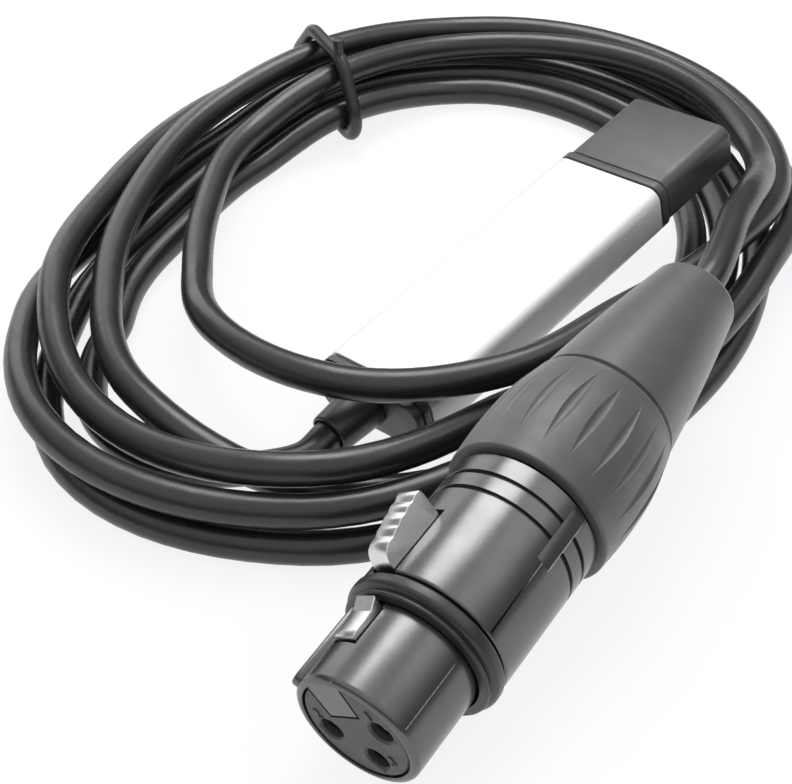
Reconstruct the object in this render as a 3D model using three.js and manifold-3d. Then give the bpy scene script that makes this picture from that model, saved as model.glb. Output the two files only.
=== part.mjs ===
// A USB stage-lighting interface: a three-contact socket connector and a metal-cased
// USB stick, joined by one round cable that lies in a loose coil and is tied once.
// Millimetres, +Z up. The origin is on the bench, under the middle of the connector and
// the stick. Both lie slightly tilted, as they rest on the turns of their own cable.

import * as THREE from 'three';
import { mergeVertices } from 'three/addons/utils/BufferGeometryUtils.js';
import Module from 'manifold-3d';

const wasm = await Module();
wasm.setup();

// Shared fits
const FIT_GAP = 0.3; // between a piece and the seat cut for it
const OVERRUN = 1; // how far a cutting body runs past the face that it cuts
const WELD = 0.0001; // vertices closer than this are one

// How finely round forms are drawn
const ROUND_SIDES = 40;
const SMALL_SIDES = 20;
const ARC_STEPS = 3;

// Cable
const CORD_DIAMETER = 4.5;
const JACKET_INSET = 1.8; // from the rear face of the shell back to where the jacket is cut
const CONDUCTOR_RADIUS = 0.45;
const CONDUCTOR_SPREAD = 1.1; // of the three conductors where they leave the jacket

// Connector shell, with lengths along its axis from the mating face
const NOSE_RADIUS = 7.93;
const NOSE_LENGTH = 11.4;
const NOSE_RIM_ROUND = 0.8;
const BODY_RADIUS = 9.72;
const BODY_LENGTH = 18.4;
const BODY_EDGE = 0.4;
const TAIL_RADIUS = 9;
const TAIL_LENGTH = 9.2;
const TAIL_WALL = 1;
const GROOVE_WIDTH = 0.8;
const GROOVE_DEPTH = 0.45;
const GROOVE_PLACE_SHARES = [0.73, 0.87]; // of the body's length
const BRIDGE_WIDTH = 2.9; // of the strip where the two grooves stop
const SEAM_ANGLE = 88.5; // degrees round from the latch to the long seam
const SEAM_WIDTH = 0.5;
const SEAM_DEPTH = 0.3;
const SEAM_START = 0.9;
const RIB_ANGLE = -34; // degrees round from the latch to the long rib on the nose
const RIB_WIDTH = 2.4;
const RIB_HEIGHT = 0.7;
const RIB_START = 0.2;

// Sealing ring in front of the body's shoulder
const RING_WIDTH = 2.7;
const RING_RADIUS = 9.95;
const RING_ROUND = 0.8;

// Contact insert and its three socket contacts
const INSERT_RADIUS = 6.6;
const INSERT_RECESS = 0.4;
const INSERT_LENGTH = 19.5;
const CONTACT_CIRCLE_RADIUS = 4.2;
const CONTACT_HOLE_RADIUS = 1.55;
const CONTACT_LIP = 1;
const CONTACT_RADIUS = 1.6;
const CONTACT_BORE = 1.2;
const CONTACT_BORE_DEPTH = 9;
const CONTACT_LENGTH = 23;
const CUP_LENGTH = 3;
const CONTACT_ANGLES = [90, -90, 180]; // degrees round from the latch

// Key tongue of the shell, which stands in the insert's keyway behind the latch
const TONGUE_INNER = 2.26; // its lowest face, from the axis
const TONGUE_INNER_WIDTH = 4.4;
const TONGUE_OUTER_WIDTH = 5.1;
const TONGUE_LENGTH = 19.3;

// Latch lever, in the plane through the connector's axis
const LATCH_THICKNESS = 2.2;
const LATCH_PIVOT_Y = 26.5;
const LATCH_PIVOT_Z = 5.6;
const LATCH_EYE_RADIUS = 1.2;
const LATCH_FLOOR = 6.2; // underside of the lever, from the axis
const LATCH_WAIST = 7.6; // top of the lever where it passes under the ring
const LATCH_HOOK_START = 5.7;
const LATCH_HOOK_LENGTH = 5.2;
const LATCH_HOOK_TOP = 8.4;
const LATCH_STEP_TOP = 9.2;
const LATCH_FIN_LENGTH = 8.9;
const LATCH_FIN_HEIGHT = 13.7; // crest of the thumb fin, from the axis
const LATCH_SLOT_REAR = 0.7; // free length of the slot behind the fin
const LATCH_SLOT_FLOOR = 3.8; // bottom of the slot in the tongue, from the axis
const PIN_RADIUS = 0.6;
const PIN_LENGTH = 13.4;
const SPRING_WIRE_RADIUS = 0.2;
const SPRING_COIL_RADIUS = 1.1;
const SPRING_PITCH = 0.62;
const SPRING_CURLS = 3;

// Thumb fin outline as shares of the fin's length and of its height over the waist
const FIN_OUTLINE_SHARES = [
  [0, 0], [0, 0.3], [0.05, 0.72], [0.17, 0.82], [0.25, 0.73], [0.33, 0.85], [0.43, 0.76],
  [0.51, 0.88], [0.61, 0.8], [0.68, 0.93], [0.78, 0.86], [0.84, 1], [0.93, 1], [0.96, 0.84],
  [1, 0.3],
];

// Grip sleeve, which screws on the tail of the shell
const GRIP_LENGTH = 18.9;
const GRIP_FRONT_RADIUS = 10.67;
const GRIP_BULGE_RADIUS = 11;
const GRIP_BULGE_SHARE = 0.3;
const GRIP_REAR_RADIUS = 9.58;
const GRIP_EDGE = 0.45;
const GRIP_REAR_BORE = 7.2;
const GRIP_REAR_WALL = 6.8; // length of the narrow rear bore
const FLUTE_COUNT = 20;
const FLUTE_DEPTH = 0.45;
const FLUTE_START_SHARE = 0.2;
const FLUTE_END_SHARE = 0.86;
const GRIP_STEPS = 10;

// Clamping chuck and rubber boot
const CHUCK_LENGTH = 9.5;
const CHUCK_SLITS = 4;
const CHUCK_SLIT_WIDTH = 1;
const BOOT_LENGTH = 24.1;
const BOOT_FRONT_RADIUS = 9.35;
const BOOT_REAR_RADIUS = 5.95;
const BOOT_END_ROUND = 0.9;
const BOOT_FLANGE = 1.7;

// USB stick, with lengths along it from the cable end of the metal case
const CASE_LENGTH = 49.3;
const CASE_WIDTH = 18.5;
const CASE_HEIGHT = 7.8;
const CASE_CORNER = 2;
const CASE_WALL = 1.2;
const BOARD_SLOT_DEPTH = 0.6;
const BEZEL_THICKNESS = 1.5;
const SPIGOT_LENGTH = 3; // how far both end pieces reach into the case
const END_CAP_THICKNESS = 2.7;
const END_CAP_LINE_WIDTH = 0.4;
const END_CAP_LINE_DEPTH = 0.3;
const CABLE_ENTRY_RISE = 1; // cable entry above the middle of the case
const RELIEF_LENGTH = 7;
const RELIEF_BASE_RADIUS = 3.4;
const RELIEF_TIP_RADIUS = 2.95;
const RELIEF_ROUND = 0.3;
const USB_CAP_LENGTH = 15.7;
const USB_CAP_INSET = 0.25; // how much narrower the cap is on each side
const USB_CAP_EDGE = 0.6;
const USB_CAP_FLOOR = 1.1; // free depth past the plug's tip

// USB plug
const PLUG_WIDTH = 12;
const PLUG_HEIGHT = 4.5;
const PLUG_WALL = 0.3;
const PLUG_CORNER = 0.5;
const PLUG_LENGTH = 18.7;
const PLUG_REACH = 13.1; // beyond the bezel
const PLUG_TONGUE = 1.8;
const PLUG_TONGUE_SETBACK = 0.6;
const PLUG_PADS = 4;
const PLUG_PAD_WIDTH = 1.1;
const PLUG_PAD_LENGTH = 8;
const PLUG_PAD_THICKNESS = 0.3;
const PLUG_PAD_MARGIN = 1.4; // from the outer pads to the side of their block

// Circuit board and what stands on it
const BOARD_THICKNESS = 1;
const BOARD_DROP = 0.9; // board's middle below the middle of the case
const BOARD_START = 6;
const CONTROLLER_SIZE = [5.3, 10.2, 1.6];
const CONTROLLER_PLACE_SHARE = 0.68;
const DRIVER_SIZE = [3.9, 4.9, 1.5];
const DRIVER_PLACE_SHARE = 0.3;
const CAPACITOR_SIZE = [3.2, 1.6, 1.4];
const CAPACITOR_GAP = 1.2; // from the controller to the capacitor at each end of it
const WIRE_LENGTH = 9;
const WIRE_SPREAD = 2.6;

// Where things lie, before everything is moved to the origin
const BENCH_SHIFT = [99.45, -136.15, -0.05];
const CONNECTOR_PLACE = [-79.86, 80.73, 8.45];
const CONNECTOR_YAW_ANGLE = 8.05;
const CONNECTOR_PITCH_ANGLE = 7.7;
const CONNECTOR_ROLL_ANGLE = -35.1;
const STICK_PLACE = [-117.8, 126.1, 5.1];
const STICK_PITCH_ANGLE = 9.3;
const STICK_ROLL_ANGLE = -5.9;

// Cable route. The free stretches are points on the bench. The coil is a row for each turn,
// with its distance from the coil's middle and its height at every twelfth of the turn.
const COIL_PLACE = [-139, 155];
const COIL_START_ANGLE = 0;
const COIL_GUIDE_STATIONS = 1; // before the coil's start, only to set its direction
const COIL_STATION_ANGLE = 30;
const COIL_TURN_STEPS = 24;
const COIL_SIDES = 6;
const COIL_TURN_RADII = [
  [47.2, 47],
  [55.3, 59.9, 55.4, 41.3, 36, 31.3, 32.2, 38.8, 43.3, 41, 38.2, 45.8],
  [59.4, 65.6, 62.6, 49.8, 44.2, 41.7, 45, 53, 55.2, 47.2, 44.6, 45.4],
  [49.8, 54.9, 55.5, 43.5, 39.7, 40.4, 50.9, 64.9, 62.9, 53.3, 49.8, 50.4],
  [54.8, 60, 61, 49.2, 44.7, 45.8, 56.6, 65.4, 61.8, 49.6, 47.6, 51.2],
  [61.9, 65.2, 66.2, 54.6, 49, 46.7, 52.6, 58.9, 58.3, 42.1, 39.6, 40.4],
  [44.8, 49.8, 49.9, 37.8, 34.5, 35.2, 43.6],
];
const COIL_TURN_HEIGHTS = [
  [19.4, 17.9],
  [11, 9.4, 8, 10.3, 7.4, 7.4, 7.6, 10.8, 12.8, 12.4, 11.5, 11.1],
  [7.6, 7.4, 7.4, 10.3, 8.8, 8.3, 8.2, 8.4, 5, 2.3, 2.3, 2.3],
  [2.3, 2.3, 2.3, 5.4, 2.3, 2.3, 2.3, 2.3, 2.3, 2.3, 2.3, 2.3],
  [2.3, 2.3, 2.3, 5.4, 2.3, 2.3, 4.4, 7.3, 7.4, 6.8, 6.8, 7.6],
  [3.2, 2.3, 2.3, 5.4, 5.7, 7.4, 8.6, 8, 11.2, 7, 2.3, 2.3],
  [2.3, 2.3, 2.3, 5.4, 2.3, 2.3, 2.3],
];
const LEAD_OUT_POINTS = [[-93.7, 167.3, 19.2]];
const LEAD_IN_POINTS = [
  [-155.6, 108.8, 2.3], [-151, 103.4, 2.3], [-146, 99.8, 2.3], [-140.1, 98.2, 2.3],
  [-133.9, 98.6, 2.3], [-128.3, 100.9, 2.3], [-123.6, 104.6, 2.5],
];
const FREE_CORD_SIDES = 10;
const FREE_CORD_STEP = 9; // length of one step along a free stretch

// Rubber tie round the bundle of turns
const TIE_RADIUS = 1.1;
const TIE_ANGLE = 149;
const TIE_LEAN_ANGLE = 9; // from square to the bundle's circle
const TIE_SLACK = 0.45; // between the tie and the turns
const TIE_STEPS = 26;
const TIE_SIDES = 8;
const TIE_NUB_LENGTH = 2.2;
const TIE_NUB_SHARE = 0.85; // of the way round the loop to the short end

// Where each piece ends, worked out from the sizes above
const cordRadius = CORD_DIAMETER / 2;
const cordBore = cordRadius + FIT_GAP;
const insertBore = INSERT_RADIUS + FIT_GAP;
const insertEnd = INSERT_RECESS + INSERT_LENGTH;
const shoulder = NOSE_LENGTH + RING_WIDTH + FIT_GAP;
const bodyEnd = shoulder + BODY_LENGTH;
const tailEnd = bodyEnd + TAIL_LENGTH;
const tailBore = TAIL_RADIUS - TAIL_WALL;
const gripStart = bodyEnd + FIT_GAP;
const gripEnd = gripStart + GRIP_LENGTH;
const gripShoulder = gripEnd - GRIP_REAR_WALL;
const bootStart = gripEnd + FIT_GAP;
const bootEnd = bootStart + BOOT_LENGTH;
const chuckStart = tailEnd - CHUCK_LENGTH + FIT_GAP;
const chuckEnd = chuckStart + CHUCK_LENGTH;
const jacketStart = bodyEnd - JACKET_INSET;
const contactStart = INSERT_RECESS + CONTACT_LIP + FIT_GAP;
const contactEnd = contactStart + CONTACT_LENGTH;
const latchHookEnd = LATCH_HOOK_START + LATCH_HOOK_LENGTH;
const latchFinStart = shoulder + FIT_GAP;
const latchFinEnd = latchFinStart + LATCH_FIN_LENGTH;
const latchSlotWidth = LATCH_THICKNESS + 2 * FIT_GAP;
const latchSlotEnd = latchFinEnd + LATCH_SLOT_REAR;
const caseBoreWidth = CASE_WIDTH - 2 * CASE_WALL;
const caseBoreHeight = CASE_HEIGHT - 2 * CASE_WALL;
const bezelStart = CASE_LENGTH + FIT_GAP;
const bezelEnd = bezelStart + BEZEL_THICKNESS;
const plugEnd = bezelEnd + PLUG_REACH;
const plugStart = plugEnd - PLUG_LENGTH;
const usbCapStart = bezelEnd + FIT_GAP;
const endCapEnd = -FIT_GAP - END_CAP_THICKNESS;
const reliefStart = endCapEnd - FIT_GAP;
const reliefEnd = reliefStart - RELIEF_LENGTH;
const stickJacketEnd = -FIT_GAP;
const boardEnd = plugStart - FIT_GAP;
const boardWidth = caseBoreWidth + 2 * BOARD_SLOT_DEPTH - 2 * FIT_GAP;
const boardTop = BOARD_THICKNESS / 2 - BOARD_DROP;

const radians = THREE.MathUtils.degToRad;

// Finishes
function finish(color, roughness, metalness) {
  return new THREE.MeshStandardMaterial({ color, roughness, metalness });
}
const finishes = {
  shellBlack: finish(0x1b1b1d, 0.38, 0.2),
  gripBlack: finish(0x222224, 0.7, 0),
  rubberBlack: finish(0x161617, 0.8, 0),
  insertBlack: finish(0x202022, 0.5, 0),
  nickel: finish(0xc9c9c6, 0.25, 1),
  gold: finish(0xd8b25a, 0.3, 1),
  springSteel: finish(0x9a9a9c, 0.35, 1),
  cordBlack: finish(0x121213, 0.4, 0),
  aluminium: finish(0xe4e5e7, 0.35, 0.9),
  capBlack: finish(0x2a2a2c, 0.45, 0),
  plugSteel: finish(0xb9bbbf, 0.3, 1),
  plugWhite: finish(0xe9e9e6, 0.5, 0),
  boardGreen: finish(0x1f5a37, 0.5, 0),
  chipBlack: finish(0x1d1d1f, 0.6, 0),
  ceramicTan: finish(0xb49a72, 0.6, 0),
  copperWire: finish(0xb3342a, 0.5, 0),
};

// A closed mesh as a solid that can be cut and joined
function solidOf(geometry) {
  const bare = geometry.clone();
  bare.deleteAttribute('normal');
  bare.deleteAttribute('uv');
  const welded = mergeVertices(bare, WELD);
  const corners = [];
  for (let i = 0; i < welded.index.count; i += 3) {
    const [a, b, c] = [0, 1, 2].map((k) => welded.index.getX(i + k));
    if (a !== b && b !== c && c !== a) corners.push(a, b, c);
  }
  return new wasm.Manifold(new wasm.Mesh({
    numProp: 3,
    vertProperties: Float32Array.from(welded.attributes.position.array),
    triVerts: Uint32Array.from(corners),
  }));
}

// The mesh of a solid, for display
function geometryOf(solid) {
  const mesh = solid.getMesh();
  const geometry = new THREE.BufferGeometry();
  geometry.setAttribute('position', new THREE.BufferAttribute(mesh.vertProperties, 3));
  geometry.setIndex(new THREE.BufferAttribute(mesh.triVerts, 1));
  geometry.computeVertexNormals();
  return geometry;
}

// A closed outline of [radius, along] pairs turned about the Y axis, outer side rising
function revolved(outline, sides = ROUND_SIDES) {
  const points = outline.map(([radius, along]) => new THREE.Vector2(radius, along));
  if (outline[0][0] > 0) points.push(points[0].clone());
  return new THREE.LatheGeometry(points, sides);
}

// Points of a quarter circle from one heading to the next, in degrees
function arc(centreX, centreY, radius, fromAngle, toAngle, steps = ARC_STEPS) {
  const points = [];
  for (let i = 0; i <= steps; i += 1) {
    const angle = radians(fromAngle + ((toAngle - fromAngle) * i) / steps);
    points.push([centreX + radius * Math.cos(angle), centreY + radius * Math.sin(angle)]);
  }
  return points;
}

// A straight round bar along the Y axis
function barAlongY(radius, start, end, sides = SMALL_SIDES) {
  return revolved([[0, start], [radius, start], [radius, end], [0, end]], sides);
}

// A block given by its lowest and highest corners
function block(low, high) {
  const size = high.map((value, i) => value - low[i]);
  const geometry = new THREE.BoxGeometry(...size);
  geometry.translate(...size.map((value, i) => low[i] + value / 2));
  return geometry;
}

function shapeOf(points) {
  return new THREE.Shape(points.map(([x, y]) => new THREE.Vector2(x, y)));
}

// A rectangle with round corners about the middle, as a list of points
function roundedRectangle(width, height, corner) {
  const x = width / 2 - corner;
  const y = height / 2 - corner;
  return [
    ...arc(x, -y, corner, -90, 0),
    ...arc(x, y, corner, 0, 90),
    ...arc(-x, y, corner, 90, 180),
    ...arc(-x, -y, corner, 180, 270),
  ];
}

// An outline in X and Z extruded along Y, with its edges broken by an optional bevel
function prismAlongY(points, start, end, edge = 0) {
  const geometry = new THREE.ExtrudeGeometry(shapeOf(points), {
    depth: end - start - 2 * edge,
    bevelEnabled: edge > 0,
    bevelThickness: edge,
    bevelSize: edge,
    bevelOffset: -edge,
    bevelSegments: 2,
  });
  geometry.rotateX(Math.PI / 2);
  geometry.translate(0, end - edge, 0);
  return geometry;
}

// An outline in Y and Z extruded along X and centred on it
function prismAlongX(points, thickness) {
  const geometry = new THREE.ExtrudeGeometry(shapeOf(points), {
    depth: thickness,
    bevelEnabled: false,
  });
  const turn = new THREE.Matrix4();
  turn.makeBasis(
    new THREE.Vector3(0, 1, 0),
    new THREE.Vector3(0, 0, 1),
    new THREE.Vector3(1, 0, 0),
  );
  geometry.applyMatrix4(turn);
  geometry.translate(-thickness / 2, 0, 0);
  return geometry;
}

// An outline in X and Y raised along Z
function raised(points, floor, top) {
  const geometry = new THREE.ExtrudeGeometry(shapeOf(points), {
    depth: top - floor,
    bevelEnabled: false,
  });
  geometry.translate(0, 0, floor);
  return geometry;
}

// A round tube through points, its sections square to the path and level with the
// reference direction, closed on itself or with flat ends
function sweptTube(points, radius, sides, reference, closed = false) {
  const count = points.length;
  const at = (i) => points[closed ? (i + count) % count : Math.min(Math.max(i, 0), count - 1)];
  const positions = [];
  points.forEach((point, i) => {
    const along = at(i + 1).clone().sub(at(i - 1)).normalize();
    const side = along.clone().cross(reference).normalize();
    const up = side.clone().cross(along);
    for (let k = 0; k < sides; k += 1) {
      const angle = (2 * Math.PI * k) / sides - Math.PI / 2;
      const corner = point.clone();
      corner.addScaledVector(side, radius * Math.cos(angle));
      corner.addScaledVector(up, radius * Math.sin(angle));
      positions.push(corner.x, corner.y, corner.z);
    }
  });
  const faces = [];
  const spans = closed ? count : count - 1;
  for (let i = 0; i < spans; i += 1) {
    for (let k = 0; k < sides; k += 1) {
      const near = i * sides;
      const far = ((i + 1) % count) * sides;
      const next = (k + 1) % sides;
      faces.push(near + k, far + k, near + next);
      faces.push(near + next, far + k, far + next);
    }
  }
  if (!closed) {
    const last = (count - 1) * sides;
    for (let k = 1; k < sides - 1; k += 1) {
      faces.push(0, k, k + 1);
      faces.push(last, last + k + 1, last + k);
    }
  }
  const geometry = new THREE.BufferGeometry();
  geometry.setAttribute('position', new THREE.Float32BufferAttribute(positions, 3));
  geometry.setIndex(faces);
  geometry.computeVertexNormals();
  return geometry;
}

// A round cord of even section along a smooth curve through points
function cordThrough(points, radius, sides, stepLength) {
  const path = new THREE.CatmullRomCurve3(points);
  const section = arc(0, 0, radius, 0, 360, sides).slice(0, -1);
  return new THREE.ExtrudeGeometry(shapeOf(section), {
    steps: Math.max(4, Math.ceil(path.getLength() / stepLength)),
    extrudePath: path,
  });
}

function addPiece(group, name, geometry, material) {
  const piece = new THREE.Mesh(geometry, material);
  piece.name = name;
  group.add(piece);
  return piece;
}

function groupAt(place, pitch, roll, yaw) {
  const group = new THREE.Group();
  group.position.set(...place);
  group.rotation.set(radians(pitch), radians(roll), radians(yaw), 'ZXY');
  group.updateMatrixWorld(true);
  return group;
}

// Connector shell: one turned body with a key tongue, a rib on the nose, a slot for the
// latch, a long seam and two broken grooves
function connectorShell() {
  let solid = solidOf(revolved([
    [insertBore, 0],
    ...arc(NOSE_RADIUS - NOSE_RIM_ROUND, NOSE_RIM_ROUND, NOSE_RIM_ROUND, -90, 0),
    [NOSE_RADIUS, shoulder],
    [BODY_RADIUS - BODY_EDGE, shoulder],
    [BODY_RADIUS, shoulder + BODY_EDGE],
    [BODY_RADIUS, bodyEnd],
    [TAIL_RADIUS, bodyEnd],
    [TAIL_RADIUS, tailEnd],
    [tailBore, tailEnd],
    [tailBore, insertEnd + FIT_GAP],
    [insertBore, insertEnd + FIT_GAP],
  ]));
  solid = solid.add(solidOf(keyTongue())).add(solidOf(noseRib()));
  for (const share of GROOVE_PLACE_SHARES) {
    solid = solid.subtract(bodyGroove(shoulder + share * BODY_LENGTH));
  }
  for (const seam of [[NOSE_RADIUS, SEAM_START, NOSE_LENGTH], [BODY_RADIUS, shoulder, bodyEnd]]) {
    solid = solid.subtract(solidOf(longSeam(...seam)));
  }
  solid = solid.subtract(solidOf(latchSlot())).subtract(solidOf(latchPinBore()));
  return geometryOf(solid);
}

function keyTongue() {
  const wallMiddle = (insertBore + NOSE_RADIUS) / 2;
  return prismAlongY([
    [-TONGUE_INNER_WIDTH / 2, TONGUE_INNER],
    [TONGUE_INNER_WIDTH / 2, TONGUE_INNER],
    [TONGUE_OUTER_WIDTH / 2, wallMiddle],
    [-TONGUE_OUTER_WIDTH / 2, wallMiddle],
  ], INSERT_RECESS, INSERT_RECESS + TONGUE_LENGTH);
}

function noseRib() {
  const half = RIB_WIDTH / 2;
  const rib = raised([
    [half, NOSE_LENGTH],
    [-half, NOSE_LENGTH],
    ...arc(0, RIB_START + half, half, 180, 360),
  ], insertBore + FIT_GAP, NOSE_RADIUS + RIB_HEIGHT);
  rib.rotateY(radians(RIB_ANGLE));
  return rib;
}

function bodyGroove(place) {
  const outside = BODY_RADIUS + OVERRUN;
  const ring = solidOf(revolved([
    [BODY_RADIUS - GROOVE_DEPTH, place],
    [outside, place],
    [outside, place + GROOVE_WIDTH],
    [BODY_RADIUS - GROOVE_DEPTH, place + GROOVE_WIDTH],
  ]));
  const bridge = block(
    [-BRIDGE_WIDTH / 2, place - OVERRUN, 0],
    [BRIDGE_WIDTH / 2, place + GROOVE_WIDTH + OVERRUN, outside + OVERRUN],
  );
  bridge.rotateY(radians(SEAM_ANGLE));
  return ring.subtract(solidOf(bridge));
}

function longSeam(radius, start, end) {
  const seam = block(
    [-SEAM_WIDTH / 2, start, radius - SEAM_DEPTH],
    [SEAM_WIDTH / 2, end, radius + OVERRUN],
  );
  seam.rotateY(radians(SEAM_ANGLE));
  return seam;
}

function latchSlot() {
  return block(
    [-latchSlotWidth / 2, LATCH_HOOK_START - FIT_GAP, LATCH_SLOT_FLOOR],
    [latchSlotWidth / 2, latchSlotEnd, BODY_RADIUS + OVERRUN],
  );
}

function latchPinBore() {
  const bore = barAlongY(PIN_RADIUS + FIT_GAP, 0, PIN_LENGTH + 2 * FIT_GAP);
  bore.translate(0, -PIN_LENGTH / 2 - FIT_GAP, 0);
  bore.rotateZ(Math.PI / 2);
  bore.translate(0, LATCH_PIVOT_Y, LATCH_PIVOT_Z);
  return bore;
}

// Contact insert: a moulded cylinder with a keyway and three stepped contact bores
function contactInsert() {
  let solid = solidOf(barAlongY(INSERT_RADIUS, INSERT_RECESS, insertEnd, ROUND_SIDES));
  const reach = INSERT_RADIUS + OVERRUN;
  const keyway = prismAlongY([
    [-TONGUE_INNER_WIDTH / 2 - FIT_GAP, TONGUE_INNER - FIT_GAP],
    [TONGUE_INNER_WIDTH / 2 + FIT_GAP, TONGUE_INNER - FIT_GAP],
    [TONGUE_OUTER_WIDTH / 2 + FIT_GAP, reach],
    [-TONGUE_OUTER_WIDTH / 2 - FIT_GAP, reach],
  ], INSERT_RECESS - OVERRUN, insertEnd + OVERRUN);
  solid = solid.subtract(solidOf(keyway));
  for (const angle of CONTACT_ANGLES) {
    const bore = revolved([
      [0, INSERT_RECESS - OVERRUN],
      [CONTACT_HOLE_RADIUS, INSERT_RECESS - OVERRUN],
      [CONTACT_HOLE_RADIUS, INSERT_RECESS + CONTACT_LIP],
      [CONTACT_RADIUS + FIT_GAP, INSERT_RECESS + CONTACT_LIP],
      [CONTACT_RADIUS + FIT_GAP, insertEnd + OVERRUN],
      [0, insertEnd + OVERRUN],
    ], SMALL_SIDES);
    bore.translate(0, 0, CONTACT_CIRCLE_RADIUS);
    bore.rotateY(radians(angle));
    solid = solid.subtract(solidOf(bore));
  }
  return geometryOf(solid);
}

// One socket contact: a bored barrel in front and a half-open solder cup behind
function socketContact() {
  const cupBore = CONTACT_BORE / 2 + CONTACT_RADIUS / 4;
  const barrel = solidOf(revolved([
    [CONTACT_BORE, contactStart],
    [CONTACT_RADIUS, contactStart],
    [CONTACT_RADIUS, contactEnd],
    [cupBore, contactEnd],
    [cupBore, contactEnd - CUP_LENGTH],
    [0, contactEnd - CUP_LENGTH],
    [0, contactStart + CONTACT_BORE_DEPTH],
    [CONTACT_BORE, contactStart + CONTACT_BORE_DEPTH],
  ], SMALL_SIDES));
  const mouth = block(
    [-CONTACT_RADIUS - OVERRUN, contactEnd - CUP_LENGTH, cupBore / 2],
    [CONTACT_RADIUS + OVERRUN, contactEnd + OVERRUN, CONTACT_RADIUS + OVERRUN],
  );
  return geometryOf(barrel.subtract(solidOf(mouth)));
}

// Latch lever: hook, waist under the ring, serrated thumb fin and eye, about its pivot
function latchLever() {
  const finRise = LATCH_FIN_HEIGHT - LATCH_WAIST;
  const hookRise = LATCH_HOOK_TOP - LATCH_FLOOR;
  const fin = FIN_OUTLINE_SHARES.map(([along, up]) => [
    latchFinStart + along * LATCH_FIN_LENGTH,
    LATCH_WAIST + up * finRise,
  ]);
  const eyeFront = LATCH_PIVOT_Y - LATCH_EYE_RADIUS;
  const outline = [
    [LATCH_HOOK_START, LATCH_FLOOR],
    [LATCH_PIVOT_Y - 2 * LATCH_EYE_RADIUS, LATCH_FLOOR],
    [eyeFront, LATCH_PIVOT_Z - LATCH_EYE_RADIUS],
    ...arc(LATCH_PIVOT_Y, LATCH_PIVOT_Z, LATCH_EYE_RADIUS, -90, 90, 2 * ARC_STEPS),
    [latchFinEnd + FIT_GAP, LATCH_PIVOT_Z + LATCH_EYE_RADIUS],
    ...fin.reverse(),
    [latchHookEnd, LATCH_WAIST],
    [latchHookEnd, LATCH_STEP_TOP],
    [latchHookEnd - LATCH_HOOK_LENGTH / 5, LATCH_STEP_TOP],
    [latchHookEnd - LATCH_HOOK_LENGTH / 4, LATCH_HOOK_TOP],
    [LATCH_HOOK_START + LATCH_HOOK_LENGTH / 8, LATCH_HOOK_TOP],
    [LATCH_HOOK_START, LATCH_FLOOR + 0.75 * hookRise],
  ];
  const eye = barAlongY(PIN_RADIUS + FIT_GAP, 0, LATCH_THICKNESS + 2 * OVERRUN);
  eye.translate(0, -LATCH_THICKNESS / 2 - OVERRUN, 0);
  eye.rotateZ(Math.PI / 2);
  eye.translate(0, LATCH_PIVOT_Y, LATCH_PIVOT_Z);
  const solid = solidOf(prismAlongX(outline, LATCH_THICKNESS)).subtract(solidOf(eye));
  const geometry = geometryOf(solid);
  geometry.translate(0, -LATCH_PIVOT_Y, -LATCH_PIVOT_Z);
  return geometry;
}

function latchPin() {
  const pin = barAlongY(PIN_RADIUS, -PIN_LENGTH / 2, PIN_LENGTH / 2);
  pin.rotateZ(Math.PI / 2);
  pin.translate(0, LATCH_PIVOT_Y, LATCH_PIVOT_Z);
  return pin;
}

// Latch spring: a small helix round the pin beside the lever's eye
function latchSpring() {
  const curlSteps = 8;
  const start = LATCH_THICKNESS / 2 + FIT_GAP + SPRING_WIRE_RADIUS;
  const points = [];
  for (let i = 0; i <= SPRING_CURLS * curlSteps; i += 1) {
    const angle = (2 * Math.PI * i) / curlSteps;
    points.push(new THREE.Vector3(
      start + (SPRING_PITCH * i) / curlSteps,
      LATCH_PIVOT_Y + SPRING_COIL_RADIUS * Math.cos(angle),
      LATCH_PIVOT_Z + SPRING_COIL_RADIUS * Math.sin(angle),
    ));
  }
  return sweptTube(points, SPRING_WIRE_RADIUS, 5, new THREE.Vector3(1, 0, 0));
}

// Sealing ring: a band with round shoulders that sits in the seat behind the nose
function sealingRing() {
  const inner = NOSE_RADIUS + FIT_GAP;
  const outer = RING_RADIUS - RING_ROUND;
  const front = NOSE_LENGTH;
  const rear = NOSE_LENGTH + RING_WIDTH;
  return revolved([
    [inner, rear],
    [inner, front],
    ...arc(outer, front + RING_ROUND, RING_ROUND, -90, 0),
    ...arc(outer, rear - RING_ROUND, RING_ROUND, 0, 90),
  ]);
}

// Depth of the flutes at a share of the grip's length and a share of one flute's pitch
function fluteDepth(along, across) {
  const span = (along - FLUTE_START_SHARE) / (FLUTE_END_SHARE - FLUTE_START_SHARE);
  if (span <= 0 || span >= 1) return 0;
  const lens = Math.sqrt(Math.sin(Math.PI * span));
  return FLUTE_DEPTH * lens * Math.max(0, 1 - 3 * Math.abs(across));
}

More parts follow.
